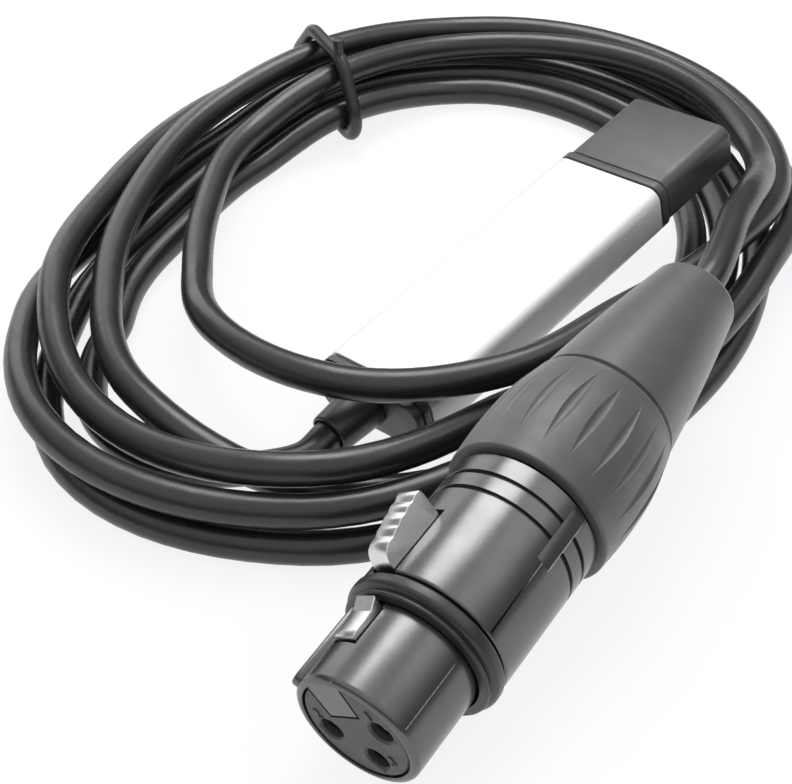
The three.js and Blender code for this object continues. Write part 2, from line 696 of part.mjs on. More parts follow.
// Grip sleeve: a bulged sleeve with lens-shaped flutes and a stepped bore
function gripSleeve() {
  const crown = new THREE.SplineCurve([
    new THREE.Vector2(0, GRIP_FRONT_RADIUS),
    new THREE.Vector2(GRIP_BULGE_SHARE, GRIP_BULGE_RADIUS),
    new THREE.Vector2((1 + GRIP_BULGE_SHARE) / 2, (GRIP_BULGE_RADIUS * 2 + GRIP_REAR_RADIUS) / 3),
    new THREE.Vector2(1, GRIP_REAR_RADIUS),
  ]);
  const perFlute = 4;
  const bore = TAIL_RADIUS + FIT_GAP;
  const rings = [
    { along: 0, radius: bore },
    { along: 0, radius: GRIP_FRONT_RADIUS - GRIP_EDGE },
  ];
  for (let i = 0; i <= GRIP_STEPS; i += 1) {
    const crownPoint = crown.getPoint(i / GRIP_STEPS);
    const edge = GRIP_EDGE / GRIP_LENGTH;
    const along = Math.min(Math.max(crownPoint.x, edge), 1 - edge);
    rings.push({ along, radius: crownPoint.y, fluted: true });
  }
  const shoulderShare = (gripShoulder - gripStart) / GRIP_LENGTH;
  rings.push({ along: 1, radius: GRIP_REAR_RADIUS - GRIP_EDGE });
  rings.push({ along: 1, radius: GRIP_REAR_BORE });
  rings.push({ along: shoulderShare, radius: GRIP_REAR_BORE });
  rings.push({ along: shoulderShare, radius: bore });
  const columns = FLUTE_COUNT * perFlute;
  const positions = [];
  for (const ring of rings) {
    for (let k = 0; k < columns; k += 1) {
      const across = (k % perFlute) / perFlute;
      const dip = ring.fluted ? fluteDepth(ring.along, Math.min(across, 1 - across)) : 0;
      const angle = (2 * Math.PI * k) / columns;
      const radius = ring.radius - dip;
      positions.push(radius * Math.sin(angle), gripStart + ring.along * GRIP_LENGTH,
        radius * Math.cos(angle));
    }
  }
  const faces = [];
  for (let i = 0; i < rings.length; i += 1) {
    for (let k = 0; k < columns; k += 1) {
      const near = i * columns;
      const far = ((i + 1) % rings.length) * columns;
      const next = (k + 1) % columns;
      faces.push(near + k, near + next, far + k);
      faces.push(near + next, far + next, far + k);
    }
  }
  const geometry = new THREE.BufferGeometry();
  geometry.setAttribute('position', new THREE.Float32BufferAttribute(positions, 3));
  geometry.setIndex(faces);
  geometry.computeVertexNormals();
  return geometry;
}

// Clamping chuck: a slit collet that the boot presses on the cable
function cableChuck() {
  const outer = tailBore - FIT_GAP;
  let solid = solidOf(revolved([
    [cordBore, chuckStart],
    [(outer + cordBore) / 2, chuckStart],
    [outer, chuckEnd - CHUCK_LENGTH / 2],
    [outer, chuckEnd],
    [cordBore, chuckEnd],
  ]));
  for (let i = 0; i < CHUCK_SLITS; i += 1) {
    const slit = block(
      [-CHUCK_SLIT_WIDTH / 2, chuckStart - OVERRUN, 0],
      [CHUCK_SLIT_WIDTH / 2, chuckEnd - CHUCK_LENGTH / 3, tailBore],
    );
    slit.rotateY((2 * Math.PI * i) / CHUCK_SLITS);
    solid = solid.subtract(solidOf(slit));
  }
  return geometryOf(solid);
}

// Rubber boot: a tapered tail with a stem and a flange held inside the grip
function rubberBoot() {
  const stem = GRIP_REAR_BORE - FIT_GAP;
  const flange = TAIL_RADIUS;
  const flangeStart = gripShoulder - FIT_GAP - BOOT_FLANGE;
  const taper = (BOOT_FRONT_RADIUS - BOOT_REAR_RADIUS) / BOOT_LENGTH;
  const bend = bootEnd - BOOT_END_ROUND;
  return revolved([
    [cordBore, flangeStart],
    [flange, flangeStart],
    [flange, flangeStart + BOOT_FLANGE],
    [stem, flangeStart + BOOT_FLANGE],
    [stem, bootStart],
    [BOOT_FRONT_RADIUS, bootStart],
    [BOOT_REAR_RADIUS + taper * BOOT_END_ROUND, bend],
    ...arc(BOOT_REAR_RADIUS - BOOT_END_ROUND, bend, BOOT_END_ROUND, 0, 90),
    [cordBore, bootEnd],
  ]);
}

// A stranded conductor from the cut jacket to a solder cup
function connectorConductor(angle) {
  const inner = CONDUCTOR_SPREAD;
  const outer = CONTACT_CIRCLE_RADIUS;
  const jacketEnd = jacketStart - FIT_GAP;
  const cup = contactEnd + FIT_GAP;
  const at = (radius, along) => new THREE.Vector3(
    radius * Math.sin(radians(angle)),
    along,
    radius * Math.cos(radians(angle)),
  );
  const bend = (jacketEnd - cup) / 5;
  return sweptTube([
    at(outer, cup),
    at(outer, cup + bend),
    at(inner, jacketEnd - bend),
    at(inner, jacketEnd),
  ], CONDUCTOR_RADIUS, 8, at(1, 0));
}

// Metal case: a drawn tube with a board slot in each side wall
function metalCase() {
  const outside = roundedRectangle(CASE_WIDTH, CASE_HEIGHT, CASE_CORNER);
  const inside = roundedRectangle(caseBoreWidth, caseBoreHeight, CASE_CORNER - CASE_WALL);
  const slotHalf = BOARD_THICKNESS / 2 + FIT_GAP;
  const slotReach = caseBoreWidth / 2 + BOARD_SLOT_DEPTH;
  const boardSlots = block(
    [-slotReach, -OVERRUN, -BOARD_DROP - slotHalf],
    [slotReach, CASE_LENGTH + OVERRUN, -BOARD_DROP + slotHalf],
  );
  return geometryOf(solidOf(prismAlongY(outside, 0, CASE_LENGTH))
    .subtract(solidOf(prismAlongY(inside, -OVERRUN, CASE_LENGTH + OVERRUN)))
    .subtract(solidOf(boardSlots)));
}

function caseSpigot(start, end) {
  return prismAlongY(roundedRectangle(
    caseBoreWidth - 2 * FIT_GAP,
    caseBoreHeight - 2 * FIT_GAP,
    CASE_CORNER - CASE_WALL,
  ), start, end);
}

// Front bezel: a thin plate with a spigot in the case and a window for the plug
function frontBezel() {
  const outline = roundedRectangle(CASE_WIDTH, CASE_HEIGHT, CASE_CORNER);
  const window = roundedRectangle(
    PLUG_WIDTH + 2 * FIT_GAP,
    PLUG_HEIGHT + 2 * FIT_GAP,
    PLUG_CORNER + FIT_GAP,
  );
  return geometryOf(solidOf(prismAlongY(outline, bezelStart, bezelEnd))
    .add(solidOf(caseSpigot(CASE_LENGTH - SPIGOT_LENGTH, bezelStart + BEZEL_THICKNESS / 2)))
    .subtract(solidOf(prismAlongY(window, plugStart - OVERRUN, bezelEnd + OVERRUN))));
}

// Rear end cap: a plate with a line round it, a spigot in the case and the cable entry
function rearEndCap() {
  const outline = roundedRectangle(CASE_WIDTH, CASE_HEIGHT, CASE_CORNER);
  const line = roundedRectangle(
    CASE_WIDTH - 2 * END_CAP_LINE_DEPTH,
    CASE_HEIGHT - 2 * END_CAP_LINE_DEPTH,
    CASE_CORNER - END_CAP_LINE_DEPTH,
  );
  const outer = roundedRectangle(CASE_WIDTH + OVERRUN, CASE_HEIGHT + OVERRUN, CASE_CORNER);
  const middle = -FIT_GAP - END_CAP_THICKNESS / 2;
  const lineStart = middle - END_CAP_LINE_WIDTH / 2;
  const lineEnd = middle + END_CAP_LINE_WIDTH / 2;
  const lineCut = solidOf(prismAlongY(outer, lineStart, lineEnd))
    .subtract(solidOf(prismAlongY(line, lineStart - OVERRUN, lineEnd + OVERRUN)));
  const entry = barAlongY(cordBore, endCapEnd - OVERRUN, SPIGOT_LENGTH + OVERRUN, ROUND_SIDES);
  entry.translate(0, 0, CABLE_ENTRY_RISE);
  return geometryOf(solidOf(prismAlongY(outline, endCapEnd, -FIT_GAP, END_CAP_LINE_DEPTH))
    .add(solidOf(caseSpigot(middle, SPIGOT_LENGTH)))
    .subtract(lineCut)
    .subtract(solidOf(entry)));
}

function strainRelief() {
  const tip = RELIEF_TIP_RADIUS - RELIEF_ROUND;
  const relief = revolved([
    [cordBore, reliefEnd],
    ...arc(tip, reliefEnd + RELIEF_ROUND, RELIEF_ROUND, -90, 0),
    [RELIEF_BASE_RADIUS, reliefStart],
    [cordBore, reliefStart],
  ], SMALL_SIDES);
  relief.translate(0, 0, CABLE_ENTRY_RISE);
  return relief;
}

// USB cap: a soft-edged block with a pocket that the plug fills
function usbCap() {
  const outline = roundedRectangle(
    CASE_WIDTH - 2 * USB_CAP_INSET,
    CASE_HEIGHT - 2 * USB_CAP_INSET,
    CASE_CORNER,
  );
  const pocket = roundedRectangle(
    PLUG_WIDTH + 2 * FIT_GAP,
    PLUG_HEIGHT + 2 * FIT_GAP,
    PLUG_CORNER + FIT_GAP,
  );
  const end = usbCapStart + USB_CAP_LENGTH;
  return geometryOf(solidOf(prismAlongY(outline, usbCapStart, end, USB_CAP_EDGE))
    .subtract(solidOf(prismAlongY(pocket, usbCapStart - OVERRUN, plugEnd + USB_CAP_FLOOR))));
}

function plugShell() {
  const outside = roundedRectangle(PLUG_WIDTH, PLUG_HEIGHT, PLUG_CORNER);
  const inside = roundedRectangle(
    PLUG_WIDTH - 2 * PLUG_WALL,
    PLUG_HEIGHT - 2 * PLUG_WALL,
    PLUG_CORNER - PLUG_WALL / 2,
  );
  return geometryOf(solidOf(prismAlongY(outside, plugStart, plugEnd))
    .subtract(solidOf(prismAlongY(inside, plugStart - OVERRUN, plugEnd + OVERRUN))));
}

// Sizes that the plug's contact block and its pads share
const plugBlock = {
  half: PLUG_WIDTH / 2 - PLUG_WALL - FIT_GAP,
  floor: -PLUG_HEIGHT / 2 + PLUG_WALL + FIT_GAP,
  end: plugEnd - PLUG_TONGUE_SETBACK,
};
plugBlock.top = plugBlock.floor + PLUG_TONGUE;

function plugContactBlock() {
  return block(
    [-plugBlock.half, plugStart, plugBlock.floor],
    [plugBlock.half, plugBlock.end, plugBlock.top],
  );
}

function plugPad(index) {
  const spread = 2 * (plugBlock.half - PLUG_PAD_MARGIN) - PLUG_PAD_WIDTH;
  const middle = (index / (PLUG_PADS - 1) - 1 / 2) * spread;
  const end = plugBlock.end - PLUG_TONGUE_SETBACK;
  const floor = plugBlock.top + FIT_GAP;
  return block(
    [middle - PLUG_PAD_WIDTH / 2, end - PLUG_PAD_LENGTH, floor],
    [middle + PLUG_PAD_WIDTH / 2, end, floor + PLUG_PAD_THICKNESS],
  );
}

function circuitBoard() {
  return block(
    [-boardWidth / 2, BOARD_START, boardTop - BOARD_THICKNESS],
    [boardWidth / 2, boardEnd, boardTop],
  );
}

// Place along the stick at a share of the board's length
function boardPlace(share) {
  return BOARD_START + share * (boardEnd - BOARD_START);
}

// A part that stands on the board, with its middle at a place along the stick
function boardPart(size, middle) {
  const floor = boardTop + FIT_GAP;
  return block(
    [-size[0] / 2, middle - size[1] / 2, floor],
    [size[0] / 2, middle + size[1] / 2, floor + size[2]],
  );
}

// A conductor from the jacket's end in the stick to a pad on the board
function boardWire(index) {
  const start = stickJacketEnd + FIT_GAP;
  const height = boardTop + FIT_GAP + CONDUCTOR_RADIUS;
  const bend = WIRE_LENGTH / 5;
  return sweptTube([
    new THREE.Vector3(index * CONDUCTOR_SPREAD, start, height),
    new THREE.Vector3(index * CONDUCTOR_SPREAD, start + bend, height),
    new THREE.Vector3(index * WIRE_SPREAD, start + WIRE_LENGTH - bend, height),
    new THREE.Vector3(index * WIRE_SPREAD, start + WIRE_LENGTH, height),
  ], CONDUCTOR_RADIUS, 8, new THREE.Vector3(0, 0, 1));
}

// Value at a place between stations, on a smooth curve through them
function curveThrough(values, place) {
  const i = Math.min(Math.max(Math.floor(place), 0), values.length - 2);
  const t = place - i;
  const [b, c] = [values[i], values[i + 1]];
  const a = i > 0 ? values[i - 1] : 2 * b - c;
  const d = i + 2 < values.length ? values[i + 2] : 2 * c - b;
  return 0.5 * (2 * b + (c - a) * t + (2 * a - 5 * b + 4 * c - d) * t * t
    + (3 * b - a - 3 * c + d) * t * t * t);
}

// Value at a place between stations, on a smooth curve that never passes beyond them
function levelThrough(values, place) {
  const i = Math.min(Math.max(Math.floor(place), 0), values.length - 2);
  const t = place - i;
  const riseAt = (k) => (values[k + 1] ?? values[k]) - values[k];
  const slopeAt = (k) => {
    const [before, after] = [k > 0 ? riseAt(k - 1) : 0, riseAt(k)];
    return before * after > 0 ? (2 * before * after) / (before + after) : 0;
  };
  const [rise, start, end] = [riseAt(i), slopeAt(i), slopeAt(i + 1)];
  return values[i] + start * t + (3 * rise - 2 * start - end) * t * t
    + (start + end - 2 * rise) * t * t * t;
}

// Centre line of the coil, with so many points to each turn
function coilPath(turnSteps) {
  const radii = COIL_TURN_RADII.flat();
  const heights = COIL_TURN_HEIGHTS.flat();
  const stations = radii.length - 1 - COIL_GUIDE_STATIONS;
  const steps = Math.round((stations * COIL_STATION_ANGLE * turnSteps) / 360);
  const points = [];
  for (let i = 0; i <= steps; i += 1) {
    const place = COIL_GUIDE_STATIONS + (i / steps) * stations;
    const angle = radians(COIL_START_ANGLE + place * COIL_STATION_ANGLE);
    const radius = curveThrough(radii, place);
    points.push(new THREE.Vector3(
      COIL_PLACE[0] + radius * Math.cos(angle),
      COIL_PLACE[1] + radius * Math.sin(angle),
      levelThrough(heights, place),
    ));
  }
  return points;
}

// Least gap between one turn's surface and another's, on closely spaced points
function leastSelfGap(points, radius) {
  const lengths = [0];
  for (let i = 1; i < points.length; i += 1) {
    lengths.push(lengths[i - 1] + points[i].distanceTo(points[i - 1]));
  }
  let least = Infinity;
  for (let i = 0; i < points.length; i += 1) {
    for (let j = i + 1; j < points.length; j += 1) {
      if (lengths[j] - lengths[i] > 8 * radius * 2) {
        least = Math.min(least, points[i].distanceTo(points[j]) - 2 * radius);
      }
    }
  }
  return least;
}

// The outer corners of a set of flat points, going round once
function hullOf(points) {
  const sorted = [...points].sort((p, q) => p.x - q.x || p.y - q.y);
  const chain = (list) => {
    const kept = [];
    for (const point of list) {
      while (kept.length > 1) {
        const [a, b] = kept.slice(-2);
        if ((b.x - a.x) * (point.y - a.y) - (b.y - a.y) * (point.x - a.x) > 0) break;
        kept.pop();
      }
      kept.push(point);
    }
    return kept.slice(0, -1);
  };
  return [...chain(sorted), ...chain(sorted.reverse())];
}

// Points at a set distance outside a closed outline, with its corners rounded
function offsetRound(outline, distance, steps) {
  const track = [];
  outline.forEach((corner, i) => {
    const before = outline[(i + outline.length - 1) % outline.length];
    const after = outline[(i + 1) % outline.length];
    const normalOf = (p, q) => Math.atan2(q.y - p.y, q.x - p.x) - Math.PI / 2;
    const from = normalOf(before, corner);
    let turn = normalOf(corner, after) - from;
    if (turn < 0) turn += 2 * Math.PI;
    const parts = Math.max(1, Math.ceil(turn / (2 * Math.PI / (2 * steps))));
    for (let k = 0; k <= parts; k += 1) {
      const angle = from + (turn * k) / parts;
      track.push(new THREE.Vector2(
        corner.x + distance * Math.cos(angle),
        corner.y + distance * Math.sin(angle),
      ));
    }
  });
  const lengths = [0];
  const at = (i) => track[i % track.length];
  for (let i = 1; i <= track.length; i += 1) {
    lengths.push(lengths[i - 1] + at(i).distanceTo(at(i - 1)));
  }
  const points = [];
  for (let k = 0; k < steps; k += 1) {
    const along = (lengths[track.length] * k) / steps;
    const i = lengths.findIndex((length) => length > along);
    const share = (along - lengths[i - 1]) / (lengths[i] - lengths[i - 1]);
    points.push(at(i - 1).clone().lerp(at(i), share));
  }
  return points;
}

// Rubber tie: one round strand looped square across the bundle of turns, with a short end
function cableTie(path) {
  const heading = new THREE.Vector3(
    Math.cos(radians(TIE_ANGLE)),
    Math.sin(radians(TIE_ANGLE)),
    0,
  );
  const middle = new THREE.Vector3(...COIL_PLACE, 0);
  const rays = [];
  for (let i = 1; i < path.length; i += 1) {
    const sides = [path[i - 1], path[i]].map((point) => point.clone().sub(middle));
    const turns = sides.map((side) => side.x * heading.y - side.y * heading.x);
    if (turns[0] * turns[1] <= 0 && sides[0].dot(heading) > 0) {
      rays.push(path[i].clone());
    }
  }
  const centre = rays.reduce((sum, ray) => sum.add(ray), new THREE.Vector3());
  centre.divideScalar(rays.length);
  const up = new THREE.Vector3(0, 0, 1);
  const across = heading.clone().applyAxisAngle(up, radians(TIE_LEAN_ANGLE));
  const along = up.clone().cross(across);
  const crossings = [];
  for (let i = 1; i < path.length; i += 1) {
    const before = path[i - 1].clone().sub(centre);
    const after = path[i].clone().sub(centre);
    const [a, b] = [before.dot(along), after.dot(along)];
    const close = before.dot(across) < COIL_TURN_RADII[0][0] / 2
      && before.dot(across) > -COIL_TURN_RADII[0][0] / 2;
    if (close && a <= 0 && b > 0) {
      const crossing = before.lerp(after, a / (a - b));
      crossings.push(new THREE.Vector2(crossing.dot(across), crossing.dot(up)));
    }
  }
  const reach = cordRadius + TIE_SLACK + TIE_RADIUS;
  const loop = offsetRound(hullOf(crossings), reach, TIE_STEPS);
  const inSpace = (point) => centre.clone()
    .addScaledVector(across, point.x)
    .addScaledVector(up, point.y);
  const ring = sweptTube(loop.map(inSpace), TIE_RADIUS, TIE_SIDES, along, true);
  const root = loop[Math.round(TIE_NUB_SHARE * TIE_STEPS)];
  const nub = sweptTube([
    inSpace(root),
    inSpace(root).addScaledVector(up, TIE_NUB_LENGTH + TIE_RADIUS),
  ], TIE_RADIUS * 0.8, TIE_SIDES, along);
  return geometryOf(solidOf(ring).add(solidOf(nub)));
}

// A free stretch of cord between two ends that are met square on
function freeStretch(start, startWay, points, end, endWay) {
  const straight = CORD_DIAMETER;
  return cordThrough([
    start,
    start.clone().addScaledVector(startWay, straight),
    ...points.map((point) => new THREE.Vector3(...point)),
    end.clone().addScaledVector(endWay, -straight),
    end,
  ], cordRadius, FREE_CORD_SIDES, FREE_CORD_STEP);
}

const bench = new THREE.Group();
bench.position.set(...BENCH_SHIFT);

const connector = groupAt(
  CONNECTOR_PLACE,
  CONNECTOR_PITCH_ANGLE,
  CONNECTOR_ROLL_ANGLE,
  CONNECTOR_YAW_ANGLE,
);
bench.add(connector);
addPiece(connector, 'connector_shell', connectorShell(), finishes.shellBlack);
addPiece(connector, 'contact_insert', contactInsert(), finishes.insertBlack);
CONTACT_ANGLES.forEach((angle, i) => {
  const contact = addPiece(connector, `contact_${i + 1}`, socketContact(), finishes.nickel);
  contact.geometry.translate(0, 0, CONTACT_CIRCLE_RADIUS);
  contact.rotation.y = radians(angle);
  const conductor = connectorConductor(angle);
  addPiece(connector, `connector_conductor_${i + 1}`, conductor, finishes.copperWire);
});
const latch = addPiece(connector, 'latch_lever', latchLever(), finishes.nickel);
latch.position.set(0, LATCH_PIVOT_Y, LATCH_PIVOT_Z);
addPiece(connector, 'latch_pin', latchPin(), finishes.springSteel);
addPiece(connector, 'latch_spring', latchSpring(), finishes.springSteel);
addPiece(connector, 'sealing_ring', sealingRing(), finishes.rubberBlack);
addPiece(connector, 'grip_sleeve', gripSleeve(), finishes.gripBlack);
addPiece(connector, 'cable_chuck', cableChuck(), finishes.insertBlack);
addPiece(connector, 'rubber_boot', rubberBoot(), finishes.rubberBlack);
const connectorJacket = barAlongY(cordRadius, jacketStart, bootEnd);
addPiece(connector, 'cable_end_in_connector', connectorJacket, finishes.cordBlack);

const stick = groupAt(STICK_PLACE, STICK_PITCH_ANGLE, STICK_ROLL_ANGLE, 0);
bench.add(stick);
addPiece(stick, 'metal_case', metalCase(), finishes.aluminium);
addPiece(stick, 'front_bezel', frontBezel(), finishes.capBlack);
addPiece(stick, 'rear_end_cap', rearEndCap(), finishes.capBlack);
addPiece(stick, 'strain_relief', strainRelief(), finishes.rubberBlack);
addPiece(stick, 'usb_cap', usbCap(), finishes.capBlack);
addPiece(stick, 'usb_plug_shell', plugShell(), finishes.plugSteel);
addPiece(stick, 'usb_contact_block', plugContactBlock(), finishes.plugWhite);
for (let i = 0; i < PLUG_PADS; i += 1) {
  addPiece(stick, `usb_contact_${i + 1}`, plugPad(i), finishes.gold);
}
addPiece(stick, 'circuit_board', circuitBoard(), finishes.boardGreen);
const controllerPlace = boardPlace(CONTROLLER_PLACE_SHARE);
const controller = boardPart(CONTROLLER_SIZE, controllerPlace);
addPiece(stick, 'usb_controller', controller, finishes.chipBlack);
const driver = boardPart(DRIVER_SIZE, boardPlace(DRIVER_PLACE_SHARE));
addPiece(stick, 'line_driver', driver, finishes.chipBlack);
const capacitorShift = (CONTROLLER_SIZE[1] + CAPACITOR_SIZE[1]) / 2 + CAPACITOR_GAP;
[-1, 1].forEach((side, i) => {
  const capacitor = boardPart(CAPACITOR_SIZE, controllerPlace + side * capacitorShift);
  addPiece(stick, `board_capacitor_${i + 1}`, capacitor, finishes.ceramicTan);
});
[-1, 0, 1].forEach((place, i) => {
  addPiece(stick, `board_wire_${i + 1}`, boardWire(place), finishes.copperWire);
});
const stickJacket = barAlongY(cordRadius, reliefEnd, stickJacketEnd);
stickJacket.translate(0, 0, CABLE_ENTRY_RISE);
addPiece(stick, 'cable_end_in_stick', stickJacket, finishes.cordBlack);

// Cable: a free stretch from the boot, the coil with its tie, and a free stretch to the stick
const coil = coilPath(COIL_TURN_STEPS);
const coilStart = coil[0];
const coilStartWay = coil[1].clone().sub(coil[0]).normalize();
const coilEnd = coil[coil.length - 1];
const coilEndWay = coilEnd.clone().sub(coil[coil.length - 2]).normalize();
const up = new THREE.Vector3(0, 0, 1);
addPiece(bench, 'cable_coil', sweptTube(coil, cordRadius, COIL_SIDES, up), finishes.cordBlack);
addPiece(bench, 'cable_tie', cableTie(coil), finishes.rubberBlack);

const bootMouth = new THREE.Vector3(0, bootEnd + FIT_GAP, 0).applyMatrix4(connector.matrix);
const bootWay = new THREE.Vector3(0, 1, 0).transformDirection(connector.matrix);
addPiece(bench, 'cable_from_connector', freeStretch(
  bootMouth,
  bootWay,
  LEAD_OUT_POINTS,
  coilStart.clone().addScaledVector(coilStartWay, -FIT_GAP),
  coilStartWay,
), finishes.cordBlack);

const reliefMouth = new THREE.Vector3(0, reliefEnd - FIT_GAP, CABLE_ENTRY_RISE)
  .applyMatrix4(stick.matrix);
const reliefWay = new THREE.Vector3(0, 1, 0).transformDirection(stick.matrix);
addPiece(bench, 'cable_to_stick', freeStretch(
  coilEnd.clone().addScaledVector(coilEndWay, FIT_GAP),
  coilEndWay,
  LEAD_IN_POINTS,
  reliefMouth,
  reliefWay,
), finishes.cordBlack);

const finePath = coilPath(5 * COIL_TURN_STEPS);
console.log(`Least gap between the coil's turns: ${leastSelfGap(finePath, cordRadius).toFixed(2)} mm`);

export default bench;
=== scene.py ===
"""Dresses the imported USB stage-lighting interface.

The scene holds the socket connector, the metal USB stick, the coiled cable that joins them
and a plain pale studio. Sizes are in millimetres and angles in degrees, and they become
metres and radians where Blender takes them. The connector and the stick are built along
their own Y axis and then laid down where the CAD parts lie.
"""

from __future__ import annotations

import logging
import math
from collections.abc import Callable, Iterable, Iterator, Sequence
from contextlib import contextmanager
from dataclasses import dataclass
from enum import Enum

import bmesh
import bpy
from mathutils import Matrix, Vector

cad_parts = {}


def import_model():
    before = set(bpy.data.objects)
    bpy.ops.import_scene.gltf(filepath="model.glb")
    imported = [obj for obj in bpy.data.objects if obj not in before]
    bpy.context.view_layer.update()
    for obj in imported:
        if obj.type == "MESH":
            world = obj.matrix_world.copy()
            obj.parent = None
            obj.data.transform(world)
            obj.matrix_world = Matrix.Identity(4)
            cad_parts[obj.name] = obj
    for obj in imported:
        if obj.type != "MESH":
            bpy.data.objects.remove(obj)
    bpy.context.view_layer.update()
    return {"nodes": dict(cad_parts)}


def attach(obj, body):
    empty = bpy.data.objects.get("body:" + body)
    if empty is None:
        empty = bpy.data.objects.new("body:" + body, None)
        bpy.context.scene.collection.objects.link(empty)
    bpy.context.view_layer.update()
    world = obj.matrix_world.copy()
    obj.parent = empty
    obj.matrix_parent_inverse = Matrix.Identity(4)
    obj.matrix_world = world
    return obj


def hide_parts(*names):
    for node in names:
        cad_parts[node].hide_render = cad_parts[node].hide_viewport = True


LOG = logging.getLogger("interface")

MM = 0.001
BENCH_SHIFT = (99.45, -136.15, -0.05)
FIT_GAP = 0.3
OVERRUN = 1.0
SLIVER = 0.01
MERGE_DISTANCE = 0.0005
FINE_STEPS = 128
SMALL_STEPS = 48
CROWN_STEPS = 24
ARC_STEPS = 8
SMOOTH_ANGLE = 32.0
PARALLEL = 0.99
UP = Vector((0, 0, 1))
WHITE = (1.0, 1.0, 1.0, 1.0)

Colour = tuple[float, float, float]
Outline = Sequence[tuple[float, float]]
Inputs = dict[str | int, object]
Node = bpy.types.Node
Piece = bpy.types.Object
Socket = bpy.types.NodeSocket
Tree = bpy.types.NodeTree
Mouth = tuple[Vector, Vector]


class Body(Enum):
    """CAD bodies that pieces move with."""

    INTERFACE = "interface"
    LATCH = "latch"
    CAP = "cap"


class Relief(Enum):
    """Small relief of a surface, with the detail of its noise."""

    GRAIN = 2.0
    PEEL = 0.5
    STREAKS = 3.0


# Finishes


def feed(node: Node, inputs: Inputs) -> None:
    """Sets inputs of a node.

    Args:
        node: The node.
        inputs: For each input, its value or the socket that is linked to it.
    """
    for name, value in inputs.items():
        if isinstance(value, Socket):
            node.id_data.links.new(value, node.inputs[name])
        else:
            node.inputs[name].default_value = value


def add_node(tree: Tree, kind: str, inputs: Inputs, **settings: str) -> Node:
    """Adds a shader node.

    Args:
        tree: Tree that gets the node.
        kind: Kind of the node, without ShaderNode in front.
        inputs: For each input, its value or the socket that is linked to it.
        settings: Settings of the node itself.

    Returns:
        The new node.
    """
    node = tree.nodes.new(f"ShaderNode{kind}")
    for name, value in settings.items():
        setattr(node, name, value)
    feed(node, inputs)
    return node


@dataclass(frozen=True)
class Finish:
    """One finish of the interface, with its procedural material.

    The colour is linear. Grain and mottle sizes are in millimetres. The name is given where
    two finishes share a slot.
    """

    slot: str
    colour: Colour
    roughness: float
    name: str = ""
    metallic: float = 0.0
    relief: Relief = Relief.GRAIN
    grain_size: float = 0.12
    grain_height: float = 0.004
    mottle_size: float = 4.0
    mottle_share: float = 0.12
    mottle_detail: float = 5.0
    mottle_edges: tuple[float, float] = (0.3, 0.7)
    gloss_size_share: float = 0.6
    gloss_detail: float = 6.0
    gloss_edges: tuple[float, float] = (0.25, 0.75)
    roughness_spread: float = 0.06
    streak_scale: Colour = (1.0, 0.06, 1.0)
    coat: float = 0.0
    coat_roughness: float = 0.2
    specular: float = 0.5
    sheen: float = 0.0
    sheen_roughness: float = 0.5

    def material(self) -> bpy.types.Material:
        """Builds the material, or finds the one built before.

        Returns:
            The material that carries this finish.
        """
        title = f"interface_{self.name or self.slot}"
        known = bpy.data.materials.get(title)
        if known is not None:
            return known
        material = bpy.data.materials.new(title)
        material.use_nodes = True
        material.diffuse_color = (*self.colour, 1.0)
        tree = material.node_tree
        place = add_node(tree, "TexCoord", {}).outputs["Object"]
        feed(
            tree.nodes["Principled BSDF"],
            {
                "Metallic": self.metallic,
                "Specular IOR Level": self.specular,
                "Coat Weight": self.coat,
                "Coat Roughness": self.coat_roughness,
                "Sheen Weight": self.sheen,
                "Sheen Roughness": self.sheen_roughness,
                "Base Color": self._mottle(tree, place),
                "Roughness": self._gloss(tree, place),
                "Normal": self._bump(tree, place),
            },
        )
        return material

    def _noise(self, place: Socket, size: float, detail: float) -> Socket:
        """Adds a noise.

        Args:
            place: Place on the piece.
            size: Size of its features, in millimetres.
            detail: How much finer noise lies on it.

        Returns:
            The height of the noise.
        """
        inputs = {"Vector": place, "Scale": 1 / (size * MM), "Detail": detail}
        return add_node(place.id_data, "TexNoise", inputs).outputs["Fac"]

    def _mottle(self, tree: Tree, place: Socket) -> Socket:
        """Varies the colour gently over the surface.

        Args:
            tree: Tree of the material.
            place: Place on the piece.

        Returns:
            The colour.
        """
        noise = self._noise(place, self.mottle_size, self.mottle_detail)
        ramp = add_node(tree, "ValToRGB", {"Fac": noise})
        for stop, edge, sign in zip(ramp.color_ramp.elements, self.mottle_edges, (-1, 1)):
            stop.position = edge
            stop.color = (*(c * (1 + sign * self.mottle_share) for c in self.colour), 1)
        return ramp.outputs["Color"]

    def _gloss(self, tree: Tree, place: Socket) -> Socket:
        """Lets the gloss wander a little, as handling leaves it.

        Args:
            tree: Tree of the material.
            place: Place on the piece.

        Returns:
            The roughness.
        """
        size = self.gloss_size_share * self.mottle_size
        inputs = {
            "Value": self._noise(place, size, self.gloss_detail),
            "From Min": self.gloss_edges[0],
            "From Max": self.gloss_edges[1],
            "To Min": self.roughness - self.roughness_spread,
            "To Max": self.roughness + self.roughness_spread,
        }
        return add_node(tree, "MapRange", inputs).outputs["Result"]

    def _bump(self, tree: Tree, place: Socket) -> Socket:
        """Raises the small relief: grain, orange peel or drawn streaks.

        Args:
            tree: Tree of the material.
            place: Place on the piece.

        Returns:
            The normal.
        """
        if self.relief is Relief.STREAKS:
            inputs = {"Vector": place, "Scale": self.streak_scale}
            place = add_node(tree, "Mapping", inputs).outputs["Vector"]
        height = self._noise(place, self.grain_size, self.relief.value)
        inputs = {"Strength": 1.0, "Distance": self.grain_height * MM, "Height": height}
        return add_node(tree, "Bump", inputs).outputs["Normal"]


